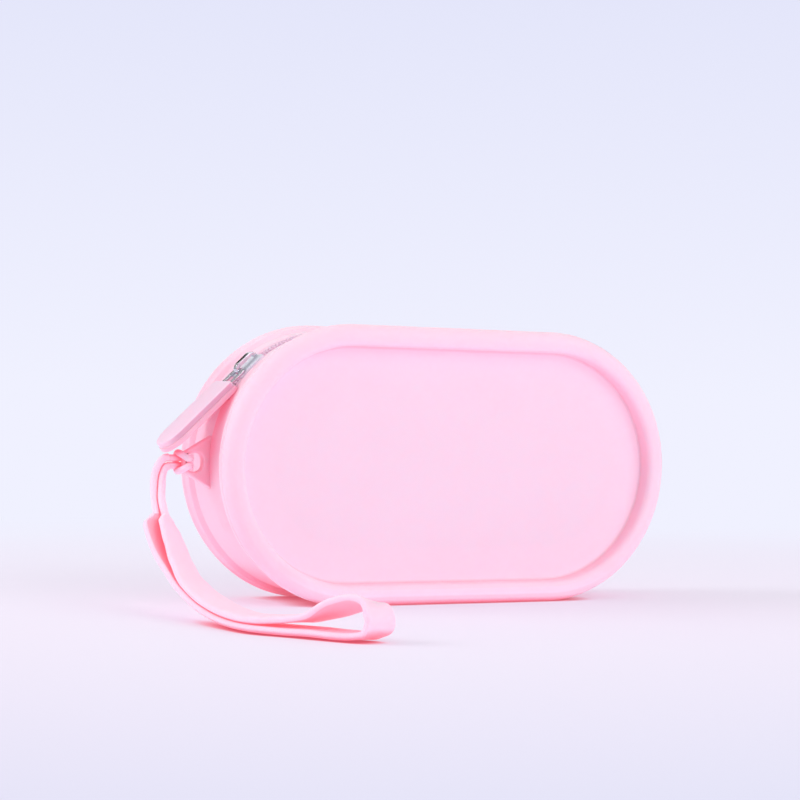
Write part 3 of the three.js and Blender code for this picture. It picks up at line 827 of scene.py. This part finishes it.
def wire_piece(name, points, diameter):
    """A round wire or cord along a smooth line, made a closed mesh."""
    line = smooth_line(points, WIRE_STEPS)
    curve = bpy.data.curves.new(name, "CURVE")
    curve.dimensions = "3D"
    curve.bevel_depth = diameter / 2
    curve.bevel_resolution = WIRE_ROUNDNESS
    curve.use_fill_caps = True
    spline = curve.splines.new("POLY")
    spline.points.add(len(line) - 1)
    for point, place in zip(spline.points, line):
        point.co = (*place, 1)
    piece = bpy.data.objects.new(name, curve)
    bpy.context.collection.objects.link(piece)
    take_up(piece)
    bpy.ops.object.convert(target="MESH")
    piece = bpy.context.object
    tidy_normals(piece)
    smooth(piece, 60)
    return piece


def make_hitch():
    """The knot: both legs go through the lug's hole to the front, round its tip and meet behind the legs."""
    bar = LUG_NOSE_X + LUG_BAR
    in_hole = bar + KNOT_CORD / 2
    exit_x = STRAP_EXIT.x - 2 * FIT
    round_tip = LUG_NOSE_X - 0.7 * MM
    leg_z = 1.15 * MM
    front = HITCH_Y - FIT
    behind = 4 * MM

    def leg(side):
        return [
            Vector((x, y, MID_Z + side * z))
            for x, y, z in (
                (exit_x, 1.65 * MM, leg_z),
                (LUG_NOSE_X - 0.6 * MM, 1.9 * MM, leg_z),
                (bar, front, leg_z),
                (in_hole, front / 2, leg_z),
                (in_hole, -front / 2, leg_z),
                (bar, -front, 1.12 * MM),
                (LUG_NOSE_X + 0.3 * MM, -2.3 * MM, 1.5 * MM),
                (round_tip, -0.5 * MM, 2.4 * MM),
                (round_tip - 0.2 * MM, 1.9 * MM, 2.7 * MM),
                (round_tip, behind - 0.5 * MM, 1.5 * MM),
            )
        ]

    middle = Vector((round_tip, behind, MID_Z))
    hitch = wire_piece("strap_knot", leg(1) + [middle] + leg(-1)[::-1], KNOT_CORD)
    dress(hitch, STRAP_SILICONE, "rear_half", ["strap_hitch"])


# Pouch body

def both_halves(half, gusset_radius, gusset_half):
    """A half section mirrored to the front, with the flat between its two ends."""
    front = [Vector((radius, -y)) for radius, y in half]
    middle = [Vector((gusset_radius, gusset_half * share)) for share in (-0.5, 0, 0.5)]
    rear = [Vector((radius, y)) for radius, y in half[::-1]]
    return front + middle + rear


def outer_profile():
    """The outer section from the front panel's middle to the rear panel's, as (radius, y)."""
    panel = HALF_DEPTH - RECESS
    inner = END_RADIUS - RIM_WIDTH
    step = END_RADIUS - RIM_STEP
    widest = HALF_DEPTH - RIM_RADIUS
    half = [(inner * share, panel + PANEL_CROWN * rise, 0) for share, rise in CROWN_CURVE]
    half += [
        (inner, panel, PANEL_FILLET),
        (inner, HALF_DEPTH, RIM_INNER_RADIUS),
        (END_RADIUS, HALF_DEPTH, RIM_RADIUS * RIM_ROUNDNESS),
        (END_RADIUS, widest - PARTING_SLOPE, 0),
        (END_RADIUS + PARTING_RIDGE, widest - 2 * PARTING_SLOPE, 0),
        (END_RADIUS - PARTING_GROOVE, widest - 3 * PARTING_SLOPE, 0),
        (END_RADIUS - RIM_TAPER, SHOULDER_Y + SHOULDER_TOP, SHOULDER_RADIUS),
        (step, SHOULDER_Y - SHOULDER_FOOT, SHOULDER_FILLET),
        (step, (SHOULDER_Y + LIP) / 2, 0),
        (step, LIP, 0),
    ]
    return both_halves(rounded_path(half, 10), step, LIP)


def inner_profile():
    """The lining's section, in the same order."""
    panel = HALF_DEPTH - RECESS - WALL
    wall = END_RADIUS - RIM_STEP - WALL
    lip = END_RADIUS - RIM_STEP - LIP_DEPTH
    half = [
        (0, panel + PANEL_CROWN, 0),
        (wall / 2, panel + PANEL_CROWN * LINING_CROWN, 0),
        (wall, panel, LINING_CORNER),
        (wall, LIP_ROOT_Y, LIP_ROOT_RADIUS),
        (lip, LIP_END_Y, LIP_END_RADIUS),
        (lip, INNER_LIP, 0),
    ]
    return both_halves(rounded_path(half, 5), lip, INNER_LIP)


def extrude_steps(reach, steps):
    for _ in range(steps):
        bpy.ops.mesh.extrude_edges_move(TRANSFORM_OT_translate={"value": (reach / steps, 0, 0)})


def outline_skin(name, profile):
    """Runs a section round the whole stadium: right end, bottom, left end, top."""
    points = [Vector((RIGHT_X, y, MID_Z + radius)) for radius, y in profile]
    skin = draw_path(name, points)
    turn = {"steps": END_COLUMNS, "angle": -math.pi, "axis": (0, 1, 0)}
    bpy.ops.mesh.spin(center=(RIGHT_X, 0, MID_Z), **turn)
    extrude_steps(LEFT_X - RIGHT_X, STRAIGHT_COLUMNS)
    bpy.ops.mesh.spin(center=(LEFT_X, 0, MID_Z), **turn)
    extrude_steps(RIGHT_X - LEFT_X, STRAIGHT_COLUMNS)
    bpy.ops.mesh.select_all(action="SELECT")
    bpy.ops.mesh.remove_doubles(threshold=SAME)
    end_edit()
    return skin


def rise_angle(place):
    """Angle of a place above the horizontal of the round end next to it."""
    beyond = abs(place.x - MID_X) - HALF_STRAIGHT
    return math.atan2(place.z - MID_Z, max(beyond, 0))


def outline_radius(place):
    """Distance of a place from the middle line that joins the centres of the two round ends."""
    beyond = max(abs(place.x - MID_X) - HALF_STRAIGHT, 0)
    return math.hypot(beyond, place.z - MID_Z)


def cut_slot(skin, half_width):
    begin_edit(skin)
    pick_faces(skin, lambda at: abs(at.y) < half_width and rise_angle(at) > SLOT_END)
    bpy.ops.mesh.delete(type="FACE")
    end_edit()


def mark_recess(body):
    """Notes how much painted shade each place gets on the walls between the rims and the panels."""
    inner = END_RADIUS - RIM_WIDTH
    deepest = HALF_DEPTH - RECESS
    notes = body.data.attributes.new("recess_wall_shade", "FLOAT", "POINT")
    for vert, note in zip(body.data.vertices, notes.data):
        out = outline_radius(vert.co) - inner
        rise = (abs(vert.co.y) - deepest) / RECESS
        on_wall = -RECESS_MARGIN < out < RECESS_WALL_WIDTH and rise > WALL_SHADE_FOOT
        # Painted shade share: full low on the wall, fading out towards the rim
        tint = (WALL_SHADE_TOP - rise) / WALL_SHADE_FADE
        note.value = min(1, max(0, tint)) if on_wall else 0


def make_body():
    outer = outline_skin("pouch_body", outer_profile())
    inner = outline_skin("pouch_lining", inner_profile())
    cut_slot(outer, LIP)
    cut_slot(inner, INNER_LIP)
    body = join([outer, inner], "pouch_body")
    begin_edit(body)
    bpy.ops.mesh.select_mode(type="EDGE")
    bpy.ops.mesh.select_all(action="DESELECT")
    bpy.ops.mesh.select_non_manifold()
    bpy.ops.mesh.bridge_edge_loops()
    step = END_RADIUS - RIM_STEP

    def on_lip(edge):
        for vert in edge.verts:
            on_step = abs(outline_radius(vert.co) - step) < 10 * SAME
            in_slot = rise_angle(vert.co) > SLOT_END - 100 * SAME
            if not on_step or not in_slot or abs(vert.co.y) > LIP + SAME:
                return False
        centre = (edge.verts[0].co + edge.verts[1].co) / 2
        along_side = abs(abs(centre.y) - LIP) < SAME
        return along_side or abs(rise_angle(centre) - SLOT_END) < SLOT_END_NEAR

    pick_edges(body, on_lip)
    bpy.ops.mesh.bevel(offset=LIP_ROUND, segments=4, affect="EDGES", clamp_overlap=True)
    bpy.ops.mesh.select_all(action="SELECT")
    bpy.ops.mesh.normals_make_consistent(inside=False)
    end_edit()
    smooth(body, 50)
    mark_recess(body)
    dress(body, BODY_SILICONE, nodes=["front_shell", "rear_shell", "gusset_web"])
    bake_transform(body)


# Zip

def over_the_top(name, section):
    """Runs a closed section, as (radius, y), along the zip from the left end to the right end."""
    points = [Vector((LEFT_X, y, MID_Z + radius)) for radius, y in section]
    strip = draw_path(name, points, closed=True)
    reach = math.pi / 2 - ZIP_END
    bpy.ops.mesh.spin(steps=TAPE_COLUMNS, angle=reach, center=(LEFT_X, 0, MID_Z), axis=(0, 1, 0))
    pick_verts(strip, lambda co: abs(co.x - LEFT_X) < 10 * SAME and co.z > MID_Z)
    extrude_steps(RIGHT_X - LEFT_X, STRAIGHT_COLUMNS)
    bpy.ops.mesh.spin(steps=TAPE_COLUMNS, angle=-reach, center=(RIGHT_X, 0, MID_Z), axis=(0, 1, 0))
    bpy.ops.mesh.select_all(action="SELECT")
    bpy.ops.mesh.remove_doubles(threshold=SAME / 10)
    bpy.ops.mesh.select_all(action="SELECT")
    bpy.ops.mesh.fill_holes(sides=0)
    bpy.ops.mesh.select_all(action="SELECT")
    bpy.ops.mesh.normals_make_consistent(inside=False)
    end_edit()
    return strip


def make_tape(side, body, node):
    """Half of the tape, with a lower shelf for its teeth."""
    top = END_RADIUS - RIM_STEP - TAPE_SINK
    low = top - TAPE_THICKNESS
    shelf = low - TAPE_THICKNESS / 2
    coil_edge = TOOTH_LENGTH + TOOTH_GAP + TOOTH_CLEARANCE
    corners = [
        (top, side * TAPE_EDGE, 0),
        (top, side * coil_edge, TAPE_ROUND),
        (low, side * (coil_edge - TAPE_UPPER_SLOPE), TAPE_ROUND),
        (low, side * TAPE_INNER, 0),
        (shelf, side * TAPE_INNER, 0),
        (shelf, side * coil_edge, TAPE_ROUND),
        (low, side * (coil_edge + TAPE_LOWER_SLOPE), TAPE_ROUND),
        (low, side * TAPE_EDGE, 0),
    ]
    tape = over_the_top("zip_tape_strip_" + node, rounded_path(corners, 3, closed=True))
    smooth(tape, 40)
    dress(tape, ZIP_TAPE, body, ["zip_tape_" + node])


def zip_places(offset):
    """Places and turns along the zip's middle line, one tooth pitch apart."""
    radius = END_RADIUS - RIM_STEP - TOOTH_HEIGHT / 2
    arc = radius * (math.pi / 2 - ZIP_END)
    straight = RIGHT_X - LEFT_X
    count = int((2 * arc + straight) / TOOTH_PITCH)
    places = []
    for k in range(count):
        run = (k + 0.5 + offset) * TOOTH_PITCH
        if run < arc:
            turn = ZIP_END + run / radius
            x = LEFT_X - radius * math.cos(turn)
            places.append((x, MID_Z + radius * math.sin(turn), math.pi / 2 - turn))
        elif run < arc + straight:
            places.append((LEFT_X + run - arc, MID_Z + radius, 0))
        else:
            turn = math.pi / 2 - (run - arc - straight) / radius
            x = RIGHT_X + radius * math.cos(turn)
            places.append((x, MID_Z + radius * math.sin(turn), turn - math.pi / 2))
    return places


def make_tooth(name):
    """One turn of the nylon coil: a rounded bar across the tape with a bead at its meshing end."""
    tooth = rounded_block(name, (TOOTH_WIDTH, TOOTH_LENGTH, TOOTH_HEIGHT), TOOTH_ROUND, 2)
    begin_edit(tooth)
    pick_verts(tooth, lambda co: co.y < -TOOTH_LENGTH / 4)
    bpy.ops.transform.resize(value=TOOTH_BEAD)
    end_edit()
    return tooth


def make_teeth(side, body, node):
    tooth = make_tooth("tooth_" + node)
    copies = []
    for x, z, turn in zip_places(0 if side < 0 else 0.5):
        copy = tooth.copy()
        copy.data = tooth.data.copy()
        bpy.context.collection.objects.link(copy)
        copy.rotation_euler = (0, -turn, 0 if side > 0 else math.pi)
        copy.location = (x, side * (TOOTH_GAP + TOOTH_LENGTH / 2), z)
        copies.append(copy)
    bpy.data.objects.remove(tooth)
    teeth = join(copies, "zip_teeth_" + node)
    settle(teeth)
    smooth(teeth, 50)
    dress(teeth, ZIP_NYLON, body, ["zip_coil_" + node])


def rounded_block(name, size, edge, segments=3):
    select_none()
    bpy.ops.mesh.primitive_cube_add(size=1, location=(0, 0, 0))
    block = bpy.context.object
    block.name = name
    block.scale = size
    settle(block)
    begin_edit(block)
    bpy.ops.mesh.select_all(action="SELECT")
    bpy.ops.mesh.bevel(offset=edge, segments=segments, affect="EDGES")
    end_edit()
    return block


def make_stop(name, side):
    low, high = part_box(name)
    turn = ZIP_END + STOP_AHEAD
    stop = rounded_block(name + "_clamp", STOP_SIZE, STOP_ROUND)
    stop.rotation_euler = (0, side * (math.pi / 2 - turn), 0)
    stop.location = (low + high) / 2
    settle(stop)
    smooth(stop, 50)
    dress(stop, STOP_PINK_REFLECTION, "rear_half", [name])


# Slider and pull, drawn lying along +X with +Z out of the pouch, then turned into place

def place_on_zip(piece, lean=0.0, pivot=None):
    along = Vector((math.sin(SLIDER_ANGLE), 0, math.cos(SLIDER_ANGLE)))
    out = Vector((-math.cos(SLIDER_ANGLE), 0, math.sin(SLIDER_ANGLE)))
    start = PULL_PIVOT + along * PIVOT_ALONG - out * PIVOT_RISE
    piece.rotation_euler = (0, SLIDER_ANGLE - math.pi / 2 + lean, 0)
    piece.location = pivot if pivot else start
    settle(piece)


def slider_plate(name, height):
    """A flat plate with round corners, narrower at its closing end."""
    plate = rounded_block(name, (SLIDER_LENGTH, SLIDER_WIDTH, SLIDER_PLATE), PLATE_EDGE, 1)
    begin_edit(plate)
    pick_edges(plate, lambda edge: abs(edge.verts[0].co.z - edge.verts[1].co.z) > SLIDER_PLATE / 2)
    bpy.ops.mesh.bevel(offset=PLATE_CORNER, segments=6, affect="EDGES")
    pick_verts(plate, lambda co: co.x < -SLIDER_LENGTH / 5)
    bpy.ops.transform.resize(value=(1, PLATE_NARROWING, 1))
    end_edit()
    apply_modifier(plate, "BEVEL", width=PLATE_ROUND, segments=3, limit_method="ANGLE")
    plate.location = (0, 0, height)
    settle(plate)
    return plate


def make_slider():
    """Two plates on a neck, under a bridge that is an open hook for the wire link."""
    half = BRIDGE_LENGTH / 2
    nose_back = half - BRIDGE_BAR
    foot_front = BRIDGE_FOOT - half
    under = BRIDGE_RISE - BRIDGE_BAR
    foot = -SLIDER_PLATE / 2
    nose = SLIDER_LIFT + BRIDGE_MOUTH
    arch = [
        (-half, foot, 0),
        (-half, BRIDGE_RISE, BRIDGE_BACK_RADIUS),
        (half, BRIDGE_RISE, BRIDGE_NOSE_RADIUS),
        (half, nose, 0),
        (nose_back, nose, 0),
        (nose_back, under, ARCH_NOSE_RADIUS),
        (foot_front, under, ARCH_BACK_RADIUS),
        (foot_front, foot, 0),
    ]
    points = [Vector((x, -BRIDGE_WIDTH / 2, z)) for x, z in rounded_path(arch, 6, closed=True)]
    bridge = extrude_outline("slider_bridge", points, (0, BRIDGE_WIDTH, 0))
    apply_modifier(bridge, "BEVEL", width=BRIDGE_ROUND, segments=4, limit_method="ANGLE")
    top = slider_plate("slider_top_plate", SLIDER_LIFT - SLIDER_PLATE / 2)
    bottom = slider_plate("slider_bottom", -SLIDER_DROP - SLIDER_PLATE / 2)
    neck = rounded_block("slider_neck", (NECK_LENGTH, NECK_WIDTH, SLIDER_DROP), NECK_ROUND, 2)
    neck.location = (NECK_ALONG, 0, -SLIDER_DROP / 2 - SLIDER_PLATE / 2)
    settle(neck)
    slider = join([bridge, bottom, neck], "zip_slider_body")
    place_on_zip(slider)
    smooth(slider, 40)
    dress(slider, ZIP_METAL, "slider", ["zip_slider"])
    place_on_zip(top)
    smooth(top, 40)
    dress(top, PLATE_METAL, "slider")


def make_link():
    """A wire bail: its bar lies in the slider's hook, and its two legs end in the tab."""
    half = (LINK_WIDTH - LINK_WIRE) / 2
    bend = LINK_WIRE
    end = LINK_REACH + LINK_SET - FIT
    share = 1 - math.sqrt(0.5)

    def side(sign):
        return [
            Vector((0, sign * (half - bend), 0)),
            Vector((-bend * share, sign * (half - bend * share), 0)),
            Vector((-bend, sign * half, 0)),
            Vector((-LINK_REACH, sign * half, 0)),
            Vector((-end, sign * half, 0)),
        ]

    link = wire_piece("pull_wire_link", side(-1)[::-1] + side(1), LINK_WIRE)
    place_on_zip(link, PULL_LEAN, PULL_PIVOT)
    smooth(link, 60)
    dress(link, ZIP_METAL, "pull", ["pull_link"])


def tab_layer(name, low, high, growth):
    """One mould half of the tab: a flat tongue with a round free end and soft edges."""
    half = TAB_WIDTH / 2 + growth
    start = -LINK_REACH + growth
    end = start - TAB_LENGTH - 2 * growth
    corners = [
        (start, half, TAB_CORNER),
        (end, half, half * TAB_ROUNDNESS),
        (end, -half, half * TAB_ROUNDNESS),
        (start, -half, TAB_CORNER),
    ]
    points = [Vector((x, y, low)) for x, y in rounded_path(corners, 10, closed=True)]
    return extrude_outline(name, points, (0, 0, high - low))


def soften_edge(layer, height, width):
    """Rounds the sharp edge that runs round a layer at one height."""
    def sharp_at_height(edge):
        level = all(abs(vert.co.z - height) < SAME for vert in edge.verts)
        return level and len(edge.link_faces) == 2 and edge.calc_face_angle(0) > 1

    begin_edit(layer)
    pick_edges(layer, sharp_at_height)
    bpy.ops.mesh.bevel(offset=width, segments=4, affect="EDGES")
    end_edit()


def make_tab():
    """The tab's two mould halves meet in a fine line round its side; the lower one is a little wider."""
    parting = (TAB_TOP + TAB_BOTTOM) / 2
    upper = tab_layer("pull_tab_tongue", parting, TAB_TOP, 0)
    lower = tab_layer("pull_tab_underside", TAB_BOTTOM, parting, TAB_STEP)
    soften_edge(upper, TAB_TOP, TAB_EDGE)
    soften_edge(lower, parting, TAB_PARTING_EDGE)
    soften_edge(lower, TAB_BOTTOM, TAB_EDGE)
    for layer in (upper, lower):
        place_on_zip(layer, PULL_LEAN, PULL_PIVOT)
        smooth(layer, 35)
    dress(upper, PULL_SILICONE, "pull", ["pull_tab"])
    # The lower half gets the pinker copy: painted shade on the tab's underside
    dress(lower, PULL_UNDER_SHADED, "pull")


# Strap lug

def make_lug():
    """A tapered tongue with soft edges and a round-cornered hole for the knot."""
    base_radius = END_RADIUS - RIM_STEP - LUG_ROOT
    base_turn = math.asin(LUG_BASE / 2 / base_radius)
    base_x = LEFT_X - base_radius * math.cos(base_turn)
    hole_mid = LUG_NOSE_X + LUG_BAR + HOLE_LENGTH / 2
    outline = rounded_path(
        [
            (base_x, LUG_BASE / 2, 0),
            (LUG_NOSE_X, LUG_TIP / 2, LUG_NOSE_RADIUS),
            (LUG_NOSE_X, -LUG_TIP / 2, LUG_NOSE_RADIUS),
            (base_x, -LUG_BASE / 2, 0),
        ],
        5,
    )
    base = [
        Vector((LEFT_X - base_radius * math.cos(turn), base_radius * math.sin(turn)))
        for turn in [base_turn * share / 6 for share in range(-5, 6)]
    ]
    points = [Vector((at.x, -LUG_THICKNESS / 2, MID_Z + at.y)) for at in outline + base]
    lug = extrude_outline("strap_lug_tongue", points, (0, LUG_THICKNESS, 0))
    half_length = HOLE_LENGTH / 2
    half_height = HOLE_HEIGHT / 2
    hole = rounded_path(
        [
            (hole_mid - half_length, half_height, HOLE_CORNER),
            (hole_mid + half_length, half_height, HOLE_CORNER),
            (hole_mid + half_length, -half_height, HOLE_CORNER),
            (hole_mid - half_length, -half_height, HOLE_CORNER),
        ],
        6,
        closed=True,
    )
    points = [Vector((at.x, -LUG_THICKNESS, MID_Z + at.y)) for at in hole]
    punch = extrude_outline("lug_hole_punch", points, (0, 2 * LUG_THICKNESS, 0))
    apply_modifier(lug, "BOOLEAN", object=punch, operation="DIFFERENCE", solver="EXACT")
    bpy.data.objects.remove(punch)
    tidy_normals(lug)
    sharp = math.radians(50)
    apply_modifier(lug, "BEVEL", width=LUG_EDGE, segments=4, limit_method="ANGLE", angle_limit=sharp)
    smooth(lug, 50)
    dress(lug, LUG_SILICONE, "rear_half", ["strap_lug"])


# Floor and light

FLOOR_PAPER = srgb(240, 236, 250)
# The floor's sweep: darker towards the camera, and pinker just in front of the pouch, a painted light
# bounced off it
FLOOR_FRONT = srgb(225, 226, 247)
FLOOR_MIDDLE = srgb(240, 230, 247)
HORIZON = srgb(240, 241, 255)
SKY = srgb(227, 229, 250)
# Painted pink contact shade on the floor under and round the pouch and strap
PINK_CONTACT_SHADE = srgb(234, 124, 146)
CONTACT_SHADE_REACH = 8 * MM
FLOOR_SIZE = 8
WORLD_LIGHT = 0.82
LAMPS = [
    ("front_softbox", (0.7, -1.3, 0.7), 1.4, 8),
    ("left_softbox", (-1.4, 0.45, 0.8), 0.9, 9),
]


def make_floor():
    """A wide paper floor that shows the pale sweep far off, darker towards the camera and painted pinker in
    front of the pouch with its bounced light, and a painted pink shade where it meets the pouch and strap.
    """
    select_none()
    bpy.ops.mesh.primitive_circle_add(vertices=96, radius=FLOOR_SIZE, fill_type="NGON", location=(0, 0, 0))
    floor = bpy.context.object
    floor.name = "floor"
    material, tree, shader = new_material("floor_paper")
    place = object_place(tree)
    distance = add_node(tree, "ShaderNodeVectorMath", {"operation": "LENGTH"})
    tree.links.new(place, distance.inputs[0])
    far = map_range(tree, distance.outputs["Value"], 0.14, 0.4, 0.3, 1)
    deep = add_node(tree, "ShaderNodeSeparateXYZ", Vector=place).outputs["Y"]
    # Darker towards the camera, pinker in front of the pouch with painted bounced light, palest far off
    front = map_range(tree, deep, -0.34, -0.06, 0, 1)
    behind = map_range(tree, deep, -0.06, 0.3, 0, 1)
    sweep = mix_colours(tree, behind, mix_colours(tree, front, FLOOR_FRONT, FLOOR_MIDDLE), HORIZON)
    # Painted contact shade: pink where the pouch and strap close the floor in, both as seen and in the
    # floor's own colour
    uncovered = map_range(tree, open_air(tree, CONTACT_SHADE_REACH), 0.05, 0.5, 0, 1)
    shown = mix_colours(tree, uncovered, PINK_CONTACT_SHADE, sweep)
    fibre = map_range(tree, noise(tree, place, FIBRE_SCALE, 3), 0.3, 0.7, 0, 0.03)
    paper = mix_colours(tree, fibre, FLOOR_PAPER, srgb(228, 226, 240))
    tree.links.new(mix_colours(tree, uncovered, PINK_CONTACT_SHADE, paper), shader.inputs["Base Color"])
    shader.inputs["Roughness"].default_value = 0.75
    shader.inputs["Specular IOR Level"].default_value = 0.15
    glow = add_node(tree, "ShaderNodeEmission", Color=shown, Strength=1)
    path = add_node(tree, "ShaderNodeLightPath")
    seen = two_values(tree, "MAXIMUM", path.outputs["Is Camera Ray"], path.outputs["Is Glossy Ray"])
    share = two_values(tree, "MULTIPLY", far, seen)
    surface = mix_shaders(tree, share, shader.outputs["BSDF"], glow.outputs["Emission"])
    tree.links.new(surface, tree.nodes["Material Output"].inputs["Surface"])
    floor.data.materials.append(material)


def make_world():
    """Even light from all round, a pale sweep for the camera and light and dark panels in the metal."""
    world = bpy.data.worlds.new("studio")
    bpy.context.scene.world = world
    world.use_nodes = True
    tree = world.node_tree
    light = tree.nodes["Background"]
    light.inputs["Color"].default_value = (1, 0.985, 0.99, 1)
    light.inputs["Strength"].default_value = WORLD_LIGHT
    towards = add_node(tree, "ShaderNodeTexCoord").outputs["Generated"]
    rise = add_node(tree, "ShaderNodeSeparateXYZ", Vector=towards).outputs["Z"]
    sweep = mix_colours(tree, map_range(tree, rise, 0.0, 0.2, 0, 1), HORIZON, SKY)
    shown = add_node(tree, "ShaderNodeBackground", Color=sweep, Strength=1)
    panels = add_node(tree, "ShaderNodeTexWave", {"bands_direction": "DIAGONAL"}, Vector=towards, Scale=1.9)
    glare = map_range(tree, panels.outputs["Fac"], 0.4, 0.6, 0.03, 1.3)
    mirrored = add_node(tree, "ShaderNodeBackground", Strength=glare)
    path = add_node(tree, "ShaderNodeLightPath")
    room = light.outputs["Background"]
    metal = mix_shaders(tree, path.outputs["Is Glossy Ray"], room, mirrored.outputs["Background"])
    seen = two_values(tree, "MAXIMUM", path.outputs["Is Camera Ray"], path.outputs["Is Transmission Ray"])
    surface = mix_shaders(tree, seen, metal, shown.outputs["Background"])
    tree.links.new(surface, tree.nodes["World Output"].inputs["Surface"])


def make_lamps():
    for name, place, size, power in LAMPS:
        towards = Vector((MID_X, 0, MID_Z)) - Vector(place)
        turn = towards.to_track_quat("-Z", "Y").to_euler()
        bpy.ops.object.light_add(type="AREA", location=place, rotation=turn)
        lamp = bpy.context.object
        lamp.name = name
        lamp.data.shape = "DISK"
        lamp.data.size = size
        lamp.data.energy = power


select_none()
make_camera()
make_strap()
make_hitch()
make_body()
make_lug()
make_tape(-1, "front_half", "front")
make_tape(1, "rear_half", "rear")
make_teeth(-1, "front_half", "front")
make_teeth(1, "rear_half", "rear")
make_stop("zip_stop_left", -1)
make_stop("zip_stop_right", 1)
make_slider()
make_link()
make_tab()
make_floor()
make_world()
make_lamps()

bpy.context.scene.view_settings.view_transform = "Standard"
